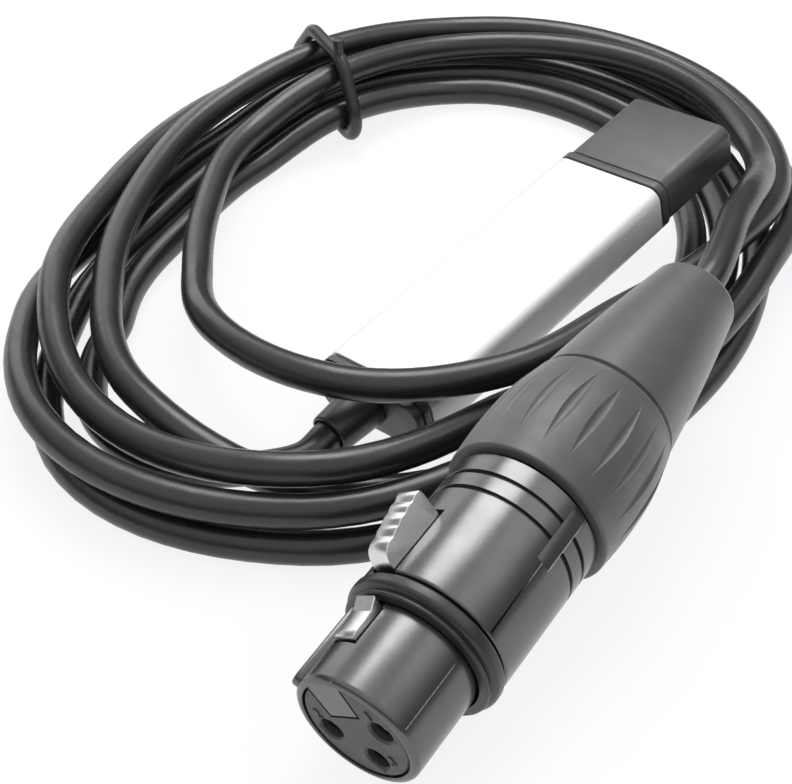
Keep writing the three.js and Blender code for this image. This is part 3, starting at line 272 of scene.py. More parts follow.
SHELL_BLACK = Finish(
    "shell_black", (0.138, 0.136, 0.14), 0.25, metallic=0.92, relief=Relief.PEEL,
    grain_size=0.35, grain_height=0.0025, mottle_share=0.06, roughness_spread=0.03,
)
GRIP_BLACK = Finish(
    "grip_black", (0.055, 0.054, 0.057), 0.46, grain_size=0.09, grain_height=0.007,
    mottle_share=0.16, specular=0.8, sheen=0.35, sheen_roughness=0.45,
)
BOOT_BLACK = Finish(
    "rubber_black", (0.04, 0.0395, 0.041), 0.46, name="boot_black", grain_size=0.14,
    grain_height=0.012, mottle_share=0.18, mottle_size=2.2, specular=0.9, sheen=0.6,
    sheen_roughness=0.4,
)
RING_BLACK = Finish(
    "rubber_black", (0.02, 0.0195, 0.0205), 0.36, name="ring_black", grain_size=0.3,
    grain_height=0.006, mottle_share=0.18, mottle_size=2.2, specular=0.6,
)
INSERT_BLACK = Finish(
    "insert_black", (0.055, 0.055, 0.057), 0.46, grain_size=0.2, mottle_share=0.1
)
NICKEL = Finish(
    "nickel", (0.7, 0.695, 0.685), 0.26, metallic=1.0, relief=Relief.PEEL, grain_size=0.3,
    mottle_share=0.05, roughness_spread=0.05,
)
SPRING_STEEL = Finish("spring_steel", (0.42, 0.42, 0.43), 0.32, metallic=1.0)
CONTACT_GOLD = Finish("contact_gold", (0.83, 0.6, 0.26), 0.24, metallic=1.0)
CORD_BLACK = Finish(
    "cord_black", (0.014, 0.014, 0.015), 0.3, relief=Relief.PEEL, grain_size=1.4,
    grain_height=0.02, mottle_share=0.2, mottle_size=9.0, roughness_spread=0.07,
    specular=0.62,
)
ALUMINIUM = Finish(
    "case_aluminium", (0.86, 0.865, 0.875), 0.48, metallic=0.45, grain_size=0.05,
    grain_height=0.0016, mottle_share=0.02, roughness_spread=0.03,
)
CAP_BLACK = Finish(
    "cap_black", (0.05, 0.05, 0.052), 0.4, grain_size=0.1, grain_height=0.005, specular=0.6
)
PLUG_STEEL = Finish(
    "plug_steel", (0.62, 0.62, 0.63), 0.26, metallic=1.0, relief=Relief.STREAKS,
    grain_size=0.2, grain_height=0.002, mottle_share=0.06,
)
PLUG_WHITE = Finish("plug_white", (0.8, 0.8, 0.77), 0.42)
BOARD_GREEN = Finish("board_green", (0.02, 0.13, 0.05), 0.35, coat=0.4, mottle_size=1.5)
CHIP_BLACK = Finish("chip_black", (0.02, 0.02, 0.021), 0.6)
CERAMIC_TAN = Finish("ceramic_tan", (0.5, 0.34, 0.18), 0.55)
WIRE_RED = Finish("wire_red", (0.42, 0.035, 0.03), 0.45)

NODE_FINISHES = {
    **{f"connector_conductor_{number}": WIRE_RED for number in (1, 2, 3)},
    "latch_pin": SPRING_STEEL,
    "latch_spring": SPRING_STEEL,
    "cable_chuck": INSERT_BLACK,
    "cable_end_in_connector": CORD_BLACK,
    "cable_end_in_stick": CORD_BLACK,
    "circuit_board": BOARD_GREEN,
    "usb_controller": CHIP_BLACK,
    "line_driver": CHIP_BLACK,
    "board_capacitor_1": CERAMIC_TAN,
    "board_capacitor_2": CERAMIC_TAN,
    **{f"board_wire_{number}": WIRE_RED for number in (1, 2, 3)},
}


# Modelling by hand


@dataclass(frozen=True)
class Placing:
    """Where a sub-assembly lies on the bench, and how it is turned."""

    place: tuple[float, float, float]
    pitch: float
    roll: float
    yaw: float

    def matrix(self) -> Matrix:
        """Returns the placing as a matrix in metres."""
        turn = (
            Matrix.Rotation(math.radians(self.yaw), 4, "Z")
            @ Matrix.Rotation(math.radians(self.pitch), 4, "X")
            @ Matrix.Rotation(math.radians(self.roll), 4, "Y")
        )
        return Matrix.Translation(on_bench(self.place)) @ turn


def on_bench(point: Sequence[float]) -> Vector:
    """Returns a point of the bench, in millimetres, as metres in the shared frame."""
    return (Vector(point) + Vector(BENCH_SHIFT)) * MM


def facing(heading: float, rise: float = 0.0) -> Vector:
    """Points a direction.

    Args:
        heading: Turn from +X towards +Y, in degrees.
        rise: Angle above the floor, in degrees.

    Returns:
        The direction, one unit long.
    """
    turn, lift = math.radians(heading), math.radians(rise)
    level = math.cos(lift)
    return Vector((math.cos(turn) * level, math.sin(turn) * level, math.sin(lift)))


def mouth_of(matrix: Matrix, along: float, rise: float = 0.0) -> Mouth:
    """Returns a point on a sub-assembly's long axis, and the axis's direction."""
    way = (matrix.to_3x3() @ Vector((0, 1, 0))).normalized()
    return matrix @ (Vector((0, along, rise)) * MM), way


def arc(
    centre: tuple[float, float], radius: float, start: float, end: float
) -> list[tuple[float, float]]:
    """Draws an arc.

    Args:
        centre: Middle of the arc.
        radius: Radius of the arc.
        start: Heading of the first point, in degrees.
        end: Heading of the last point, in degrees.

    Returns:
        The points, first and last among them.
    """
    turns = (math.radians(start + (end - start) * i / ARC_STEPS) for i in range(ARC_STEPS + 1))
    return [(centre[0] + radius * math.cos(t), centre[1] + radius * math.sin(t)) for t in turns]


def deselect() -> None:
    """Leaves object mode with nothing selected."""
    if bpy.context.object is not None and bpy.context.object.mode != "OBJECT":
        bpy.ops.object.mode_set(mode="OBJECT")
    bpy.ops.object.select_all(action="DESELECT")


def take(piece: Piece) -> None:
    """Makes one piece the only selected and the active one.

    Args:
        piece: The piece.
    """
    deselect()
    piece.select_set(True)
    bpy.context.view_layer.objects.active = piece


@contextmanager
def editing(piece: Piece) -> Iterator[None]:
    """Opens a piece in edit mode with all of it selected, and closes it again.

    Args:
        piece: The piece.

    Yields:
        Nothing, while the piece is open.
    """
    take(piece)
    bpy.ops.object.mode_set(mode="EDIT")
    bpy.ops.mesh.select_mode(type="VERT")
    bpy.ops.mesh.select_all(action="SELECT")
    yield
    bpy.ops.object.mode_set(mode="OBJECT")


def tidy_mesh() -> None:
    """In edit mode: merges doubles and points every face outwards."""
    bpy.ops.mesh.select_all(action="SELECT")
    bpy.ops.mesh.remove_doubles(threshold=MERGE_DISTANCE * MM)
    bpy.ops.mesh.normals_make_consistent(inside=False)


def traced(name: str, points: Sequence[Vector], fill: bool) -> Piece:
    """Draws a closed line of vertices by extruding a single one along it.

    Args:
        name: Name of the new piece.
        points: Corners of the line, in millimetres.
        fill: Whether the line becomes a face.

    Returns:
        The new piece.
    """
    deselect()
    bpy.ops.mesh.primitive_plane_add(size=MM, location=(0, 0, 0))
    piece = bpy.context.active_object
    piece.name = name
    with editing(piece):
        bpy.ops.mesh.merge(type="CENTER")
        bpy.ops.transform.translate(value=points[0] * MM)
        for before, after in zip(points, [*points[1:], points[0]]):
            step = (after - before) * MM
            bpy.ops.mesh.extrude_region_move(TRANSFORM_OT_translate={"value": step})
        bpy.ops.mesh.select_all(action="SELECT")
        bpy.ops.mesh.remove_doubles(threshold=MERGE_DISTANCE * MM)
        if fill:
            bpy.ops.mesh.edge_face_add()
    return piece


def turned(name: str, outline: Outline, steps: int = FINE_STEPS, sweep: float = 360.0) -> Piece:
    """Spins an outline about the Y axis.

    Args:
        name: Name of the new piece.
        outline: Corners as pairs of radius and length along the axis.
        steps: Sides of the whole turn.
        sweep: How far the outline turns, in degrees. Less than a whole turn gives a
            solid with flat ends.

    Returns:
        The new piece.
    """
    points = [Vector((radius, along, 0)) for radius, along in outline]
    piece = traced(name, points, fill=sweep < 360.0)
    with editing(piece):
        bpy.ops.mesh.spin(
            steps=max(3, round(steps * sweep / 360.0)),
            angle=math.radians(sweep),
            center=(0, 0, 0),
            axis=(0, 1, 0),
        )
        tidy_mesh()
    return piece


def rod(name: str, radius: float, start: float, end: float) -> Piece:
    """Turns a plain rod along Y."""
    return turned(name, [(0, start), (radius, start), (radius, end), (0, end)], SMALL_STEPS)


def extruded(name: str, points: Sequence[Vector], reach: Vector) -> Piece:
    """Extrudes a filled outline.

    Args:
        name: Name of the new piece.
        points: Corners of the outline, in millimetres.
        reach: How far and which way it is extruded, in millimetres.

    Returns:
        The new piece.
    """
    piece = traced(name, points, fill=True)
    with editing(piece):
        bpy.ops.mesh.extrude_region_move(TRANSFORM_OT_translate={"value": reach * MM})
        tidy_mesh()
    return piece


def rail(name: str, section: Outline, start: float, end: float) -> Piece:
    """Extrudes a section, as pairs across and up, from a start to an end along Y."""
    points = [Vector((x, start, z)) for x, z in section]
    return extruded(name, points, Vector((0, end - start, 0)))


def bar(
    name: str,
    size: tuple[float, float],
    start: float,
    end: float,
    corner: float = 0.0,
    middle: tuple[float, float] = (0.0, 0.0),
) -> Piece:
    """Makes a bar along Y with round long edges.

    Args:
        name: Name of the new piece.
        size: Width and height.
        start: Where it starts along Y.
        end: Where it ends along Y.
        corner: Radius of its long edges.
        middle: Middle of its section, across and up.

    Returns:
        The new piece.
    """
    deselect()
    centre = Vector((middle[0], (start + end) / 2, middle[1])) * MM
    bpy.ops.mesh.primitive_cube_add(size=MM, location=centre)
    piece = bpy.context.active_object
    piece.name = name
    piece.scale = (size[0], end - start, size[1])
    bpy.ops.object.transform_apply(location=True, rotation=True, scale=True)
    if corner > 0:

        def is_long(a: Vector, b: Vector) -> bool:
            """Tells whether an edge runs along Y."""
            return abs((b - a).normalized().y) > PARALLEL

        round_edges(piece, corner, ARC_STEPS, is_long)
    return piece


def round_edges(
    piece: Piece, width: float, segments: int, wanted: Callable[[Vector, Vector], bool]
) -> None:
    """Rounds chosen edges.

    Args:
        piece: The piece to round.
        width: Width of the rounding, in millimetres.
        segments: Faces across the rounding.
        wanted: Says from an edge's two ends, in metres, whether it is rounded.
    """
    with editing(piece):
        bpy.ops.mesh.select_mode(type="EDGE")
        bpy.ops.mesh.select_all(action="DESELECT")
        mesh = bmesh.from_edit_mesh(piece.data)
        for edge in mesh.edges:
            edge.select = wanted(*(corner.co for corner in edge.verts))
        bmesh.update_edit_mesh(piece.data)
        bpy.ops.mesh.bevel(offset=width * MM, segments=segments, affect="EDGES")


def soften(piece: Piece, width: float, angle: float = 40.0, segments: int = 3) -> Piece:
    """Rounds every edge sharper than an angle.

    Args:
        piece: The piece to soften.
        width: Width of the rounding, in millimetres.
        angle: Edges that turn less than this, in degrees, are left.
        segments: Faces across each rounding.

    Returns:
        The same piece.
    """
    take(piece)
    modifier = piece.modifiers.new("edges", "BEVEL")
    modifier.width = width * MM
    modifier.segments = segments
    modifier.limit_method = "ANGLE"
    modifier.angle_limit = math.radians(angle)
    bpy.ops.object.modifier_apply(modifier=modifier.name)
    return piece


def moved(
    piece: Piece,
    turn_axis: str = "Y",
    angle: float = 0.0,
    shift: Sequence[float] = (0.0, 0.0, 0.0),
) -> Piece:
    """Turns a piece about the origin, then shifts it, and applies both to its mesh.

    Args:
        piece: The piece to move.
        turn_axis: Axis of the turn.
        angle: Angle of the turn, in degrees.
        shift: Shift in millimetres.

    Returns:
        The same piece.
    """
    take(piece)
    piece.matrix_world = (
        Matrix.Translation(Vector(shift) * MM)
        @ Matrix.Rotation(math.radians(angle), 4, turn_axis)
        @ piece.matrix_world
    )
    bpy.ops.object.transform_apply(location=True, rotation=True, scale=True)
    return piece


def combined(piece: Piece, others: Iterable[Piece], operation: str) -> Piece:
    """Joins other pieces to a piece or cuts it with them.

    Args:
        piece: The piece that stays.
        others: The pieces that it is joined to or cut with. They are removed.
        operation: UNION or DIFFERENCE.

    Returns:
        The piece that stays.
    """
    for other in others:
        take(piece)
        modifier = piece.modifiers.new("work", "BOOLEAN")
        modifier.operation = operation
        modifier.solver = "EXACT"
        modifier.object = other
        bpy.ops.object.modifier_apply(modifier=modifier.name)
        bpy.data.objects.remove(other)
    return piece


def cut(piece: Piece, *cutters: Piece) -> Piece:
    """Cuts a piece with others."""
    return combined(piece, cutters, "DIFFERENCE")


def fused(piece: Piece, *others: Piece) -> Piece:
    """Fuses others into a piece."""
    return combined(piece, others, "UNION")


def hang(piece: Piece, finish: Finish, nodes: Sequence[str], body: Body = Body.INTERFACE) -> None:
    """Dresses a piece and hangs it on its CAD body.

    Args:
        piece: The piece.
        finish: Finish of the piece.
        nodes: CAD nodes that the piece stands for.
        body: CAD body that it moves with.
    """
    piece.data.materials.clear()
    piece.data.materials.append(finish.material())
    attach(piece, body.value)
    if nodes:
        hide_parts(*nodes)


def finish_piece(
    piece: Piece,
    placing: Matrix,
    finish: Finish,
    nodes: Sequence[str],
    body: Body = Body.INTERFACE,
    smooth: float = SMOOTH_ANGLE,
) -> None:
    """Lays a finished piece in its place, dresses it and hangs it on its CAD body.

    Args:
        piece: The piece in its sub-assembly's own axes.
        placing: Matrix that lays the sub-assembly down.
        finish: Finish of the piece.
        nodes: CAD nodes that the piece stands for.
        body: CAD body that it moves with.
        smooth: Edges that turn less than this, in degrees, are shaded smooth.
    """
    take(piece)
    bpy.ops.object.shade_smooth_by_angle(angle=math.radians(smooth))
    piece.matrix_world = placing
    bpy.ops.object.transform_apply(location=True, rotation=True, scale=True)
    hang(piece, finish, nodes, body)
    LOG.info("%s: %d faces, %s", piece.name, len(piece.data.polygons), finish.slot)


# Cable


def curve_through(values: Sequence[float], place: float) -> float:
    """Finds a value on a smooth curve through evenly spaced stations.

    Args:
        values: Value at each station.
        place: Place between stations, counted in stations.

    Returns:
        The value there.
    """
    i = min(max(math.floor(place), 0), len(values) - 2)
    t = place - i
    b, c = values[i], values[i + 1]
    a = values[i - 1] if i > 0 else 2 * b - c
    d = values[i + 2] if i + 2 < len(values) else 2 * c - b
    square = (2 * a - 5 * b + 4 * c - d) * t * t
    cube = (3 * b - a - 3 * c + d) * t * t * t
    return 0.5 * (2 * b + (c - a) * t + square + cube)


def level_through(values: Sequence[float], place: float) -> float:
    """Finds a value on a curve through stations that never overshoots them.

    Args:
        values: Value at each station.
        place: Place between stations, counted in stations.

    Returns:
        The value there.
    """
    i = min(max(math.floor(place), 0), len(values) - 2)
    t = place - i

    def rise_at(k: int) -> float:
        """Returns the rise from a station to the next."""
        return values[k + 1] - values[k] if 0 <= k < len(values) - 1 else 0.0

    def slope_at(k: int) -> float:
        """Returns the slope at a station."""
        before, after = rise_at(k - 1), rise_at(k)
        return 2 * before * after / (before + after) if before * after > 0 else 0.0

    rise, start, end = rise_at(i), slope_at(i), slope_at(i + 1)
    square = (3 * rise - 2 * start - end) * t * t
    cube = (start + end - 2 * rise) * t * t * t
    return values[i] + start * t + square + cube


def smooth_path(points: Sequence[Vector], steps: int) -> list[Vector]:
    """Runs a centripetal curve through points.

    Args:
        points: The points to pass through.
        steps: Steps from each point to the next.

    Returns:
        Points of the curve, the first and the last point among them.
    """
    ends = [2 * points[0] - points[1], *points, 2 * points[-1] - points[-2]]
    path = []
    for a, b, c, d in zip(ends, ends[1:], ends[2:], ends[3:]):
        ta = 0.0
        tb = ta + math.sqrt((b - a).length)
        tc = tb + math.sqrt((c - b).length)
        td = tc + math.sqrt((d - c).length)
        for i in range(steps):
            t = tb + (tc - tb) * i / steps
            ab = a.lerp(b, (t - ta) / (tb - ta))
            bc = b.lerp(c, (t - tb) / (tc - tb))
            cd = c.lerp(d, (t - tc) / (td - tc))
            left = ab.lerp(bc, (t - ta) / (tc - ta))
            right = bc.lerp(cd, (t - tb) / (td - tb))
            path.append(left.lerp(right, (t - tb) / (tc - tb)))
    return [*path, points[-1].copy()]


def hull_of(points: Iterable[tuple[float, float]]) -> list[Vector]:
    """Finds the outer corners of a set of flat points.

    Args:
        points: The flat points.

    Returns:
        The corners, going round once.
    """
    ordered = sorted(points)

    def chain(row: Iterable[tuple[float, float]]) -> list[tuple[float, float]]:
        """Keeps the points of one side that turn the same way.

        Args:
            row: The points, from one end to the other.

        Returns:
            The points kept, without the last one.
        """
        kept: list[tuple[float, float]] = []
        for point in row:
            while len(kept) > 1:
                (ax, ay), (bx, by) = kept[-2:]
                if (bx - ax) * (point[1] - ay) - (by - ay) * (point[0] - ax) > 0:
                    break
                kept.pop()
            kept.append(point)
        return kept[:-1]

    return [Vector(p) for p in [*chain(ordered), *chain(reversed(ordered))]]


def round_curve(
    name: str, line: Sequence[Vector], radius: float, fineness: int, closed: bool = False
) -> Piece:
    """Draws a round curve along a line.

    Args:
        name: Name of the new piece.
        line: Centre line in metres.
        radius: Radius in millimetres.
        fineness: Resolution of the section, as Blender counts it.
        closed: Whether the line closes on itself.

    Returns:
        The curve.
    """
    data = bpy.data.curves.new(name, "CURVE")
    data.dimensions = "3D"
    data.bevel_depth = radius * MM
    data.bevel_resolution = fineness
    data.use_fill_caps = not closed
    spline = data.splines.new("POLY")
    spline.points.add(len(line) - 1)
    for corner, point in zip(spline.points, line):
        corner.co = (*point, 1)
    spline.use_cyclic_u = closed
    spline.use_smooth = True
    piece = bpy.data.objects.new(name, data)
    bpy.context.scene.collection.objects.link(piece)
    return piece


@dataclass
class Cable:
    """The round cable: out of the boot, round the coil, and into the stick."""

    diameter: float = 4.5
    fineness: int = 7
    coil_middle: tuple[float, float] = (-139.0, 155.0)
    coil_start: float = 0.0
    guide_stations: int = 1
    station_angle: float = 30.0
    turn_steps: int = 120
    lead_steps: int = 10
    turn_radii: tuple[tuple[float, ...], ...] = (
        (47.2, 47),
        (55.3, 59.9, 55.4, 41.3, 36, 31.3, 32.2, 38.8, 43.3, 41, 38.2, 45.8),
        (59.4, 65.6, 62.6, 49.8, 44.2, 41.7, 45, 53, 55.2, 47.2, 44.6, 45.4),
        (49.8, 54.9, 55.5, 43.5, 39.7, 40.4, 50.9, 64.9, 62.9, 53.3, 49.8, 50.4),
        (54.8, 60, 61, 49.2, 44.7, 45.8, 56.6, 65.4, 61.8, 49.6, 47.6, 51.2),
        (61.9, 65.2, 66.2, 54.6, 49, 46.7, 52.6, 58.9, 58.3, 42.1, 39.6, 40.4),
        (44.8, 49.8, 49.9, 37.8, 34.5, 35.2, 43.6),
    )
    turn_heights: tuple[tuple[float, ...], ...] = (
        (19.4, 17.9),
        (11, 9.4, 8, 10.3, 7.4, 7.4, 7.6, 10.8, 12.8, 12.4, 11.5, 11.1),
        (7.6, 7.4, 7.4, 10.3, 8.8, 8.3, 8.2, 8.4, 5, 2.3, 2.3, 2.3),
        (2.3, 2.3, 2.3, 5.4, 2.3, 2.3, 2.3, 2.3, 2.3, 2.3, 2.3, 2.3),
        (2.3, 2.3, 2.3, 5.4, 2.3, 2.3, 4.4, 7.3, 7.4, 6.8, 6.8, 7.6),
        (3.2, 2.3, 2.3, 5.4, 5.7, 7.4, 8.6, 8, 11.2, 7, 2.3, 2.3),
        (2.3, 2.3, 2.3, 5.4, 2.3, 2.3, 2.3),
    )
    lead_out: tuple[tuple[float, float, float], ...] = ((-93.7, 167.3, 19.2),)
    lead_in: tuple[tuple[float, float, float], ...] = (
        (-155.6, 108.8, 2.3),
        (-151, 103.4, 2.3),
        (-146, 99.8, 2.3),
        (-140.1, 98.2, 2.3),
        (-133.9, 98.6, 2.3),
        (-128.3, 100.9, 2.3),
        (-123.6, 104.6, 2.5),
    )

    def coil(self) -> list[Vector]:
        """Runs the coil's centre line through its stations.

        Returns:
            Closely spaced points, in metres in the shared frame.
        """
        radii = [value for row in self.turn_radii for value in row]
        heights = [value for row in self.turn_heights for value in row]
        stations = len(radii) - 1 - self.guide_stations
        steps = round(stations * self.station_angle * self.turn_steps / 360)
        points = []
        for i in range(steps + 1):
            place = self.guide_stations + i / steps * stations
            way = facing(self.coil_start + place * self.station_angle)
            flat = Vector((*self.coil_middle, 0)) + way * curve_through(radii, place)
            points.append(on_bench((flat.x, flat.y, level_through(heights, place))))
        return points

    def lead(self, start: Mouth, end: Mouth, between: Iterable[Sequence[float]]) -> list[Vector]:
        """Runs a free stretch from one mouth to another.

        Args:
            start: Where it starts, and the direction it starts in.
            end: Where it ends, and the direction it ends in.
            between: Points of the bench that it passes.

        Returns:
            Closely spaced points in metres.
        """
        straight = self.diameter * MM
        stations = [
            start[0],
            start[0] + straight * start[1],
            *(on_bench(point) for point in between),
            end[0] - straight * end[1],
            end[0],
        ]
        return smooth_path(stations, self.lead_steps)

    def route(self, boot: Mouth, relief: Mouth) -> list[Vector]:
        """Runs the whole centre line.

        Args:
            boot: Where the cable leaves the boot, and the direction it leaves in.
            relief: Where it enters the strain relief, and the direction it enters in.

        Returns:
            Closely spaced points in metres, from the boot to the strain relief.
        """
        coil = self.coil()
        first = (coil[0], (coil[1] - coil[0]).normalized())
        last = (coil[-1], (coil[-1] - coil[-2]).normalized())
        out = self.lead(boot, first, self.lead_out)
        back = self.lead(last, relief, self.lead_in)
        return [*out[:-1], *coil, *back[1:]]

    def build(self, path: Sequence[Vector]) -> None:
        """Args:
            path: Centre line in metres.
        """
        cable = round_curve("cable", path, self.diameter / 2, self.fineness)
        nodes = ("cable_coil", "cable_from_connector", "cable_to_stick")
        hang(cable, CORD_BLACK, nodes)


@dataclass
class CableTie:
    """The round rubber tie looped once across the bundle of turns."""

    radius: float = 1.1
    angle: float = 149.0
    lean: float = 9.0
    slack: float = 0.45
    steps: int = 96
    fineness: int = 4
    nub_share: float = 0.85
    nub_length: float = 3.3
    nub_tip: float = 0.4
    nub_slimness: float = 0.82
    nub_edge: float = 0.25
    smooth: float = 50.0

    def section(self, cable: Cable) -> tuple[Vector, Vector, list[Vector]]:
        """Looks across the bundle where the tie lies.

        Args:
            cable: The cable that the tie holds.

        Returns:
            The bundle's middle, the direction across it, and the outer corners of the
            points where the turns cross, as pairs across and up.
        """
        path = cable.coil()
        middle = on_bench((*cable.coil_middle, 0))
        heading = facing(self.angle)
        crossings = []
        for before, after in zip(path, path[1:]):
            sides = [(p - middle).cross(heading).z for p in (before, after)]
            if sides[0] * sides[1] <= 0 and (before - middle).dot(heading) > 0:
                crossings.append(after)
        centre = sum(crossings, Vector()) / len(crossings)
        across = Matrix.Rotation(math.radians(self.lean), 3, UP) @ heading
        along = UP.cross(across)
        reach = cable.turn_radii[0][0] * MM / 2
        points = []
        for before, after in zip(path, path[1:]):
            a, b = (before - centre).dot(along), (after - centre).dot(along)
            if abs((before - centre).dot(across)) < reach and a <= 0 < b:
                place = (before - centre).lerp(after - centre, a / (a - b))
                points.append((place.dot(across), place.z))
        return centre, across, hull_of(points)

    def loop(self, hull: Sequence[Vector], reach: float) -> list[Vector]:
        """Runs round the hull at a reach outside it.

        Args:
            hull: Corners of the hull, going round once.
            reach: Distance from the hull, in metres.

        Returns:
            Evenly spaced points.
        """
        track: list[Vector] = []
        for i, corner in enumerate(hull):
            before, after = hull[i - 1], hull[(i + 1) % len(hull)]
            start = math.atan2(corner.y - before.y, corner.x - before.x) - math.pi / 2
            end = math.atan2(after.y - corner.y, after.x - corner.x) - math.pi / 2
            turn = (end - start) % (2 * math.pi)
            parts = max(1, math.ceil(turn / (math.pi / self.steps)))
            for k in range(parts + 1):
                angle = start + turn * k / parts
                track.append(corner + reach * Vector((math.cos(angle), math.sin(angle))))
        lengths = [0.0]
        for a, b in zip(track, [*track[1:], track[0]]):
            lengths.append(lengths[-1] + (b - a).length)
        points = []
        for k in range(self.steps):
            along = lengths[-1] * k / self.steps
            i = next(i for i, length in enumerate(lengths) if length > along)
            share = (along - lengths[i - 1]) / (lengths[i] - lengths[i - 1])
            points.append(track[i - 1].lerp(track[i % len(track)], share))
        return points

    def tube(self, line: Sequence[Vector], radius: float, closed: bool) -> Piece:
        """Makes a round tube of rubber.

        Args:
            line: Centre line in metres.
            radius: Radius in millimetres.
            closed: Whether the line closes on itself.

        Returns:
            The tube, as a mesh.
        """
        piece = round_curve("tie" if closed else "tie_end", line, radius, self.fineness, closed)
        take(piece)
        bpy.ops.object.convert(target="MESH")
        with editing(piece):
            tidy_mesh()
        return piece

    def build(self, cable: Cable) -> None:
        """Builds the tie from its loop and a short end.

        Args:
            cable: The cable that the tie holds.
        """
        centre, across, hull = self.section(cable)
        reach = (cable.diameter / 2 + self.slack + self.radius) * MM
        line = [centre + across * p.x + UP * p.y for p in self.loop(hull, reach)]
        root = line[round(self.nub_share * self.steps)]
        heights = (0, self.nub_length - self.nub_tip, self.nub_length)
        nub_line = [root + UP * height * MM for height in heights]
        ring = self.tube(line, self.radius, closed=True)
        nub = self.tube(nub_line, self.radius * self.nub_slimness, closed=False)
        tie = fused(ring, soften(nub, self.nub_edge))
        finish_piece(tie, Matrix.Identity(4), RING_BLACK, ["cable_tie"], smooth=self.smooth)


# Connector


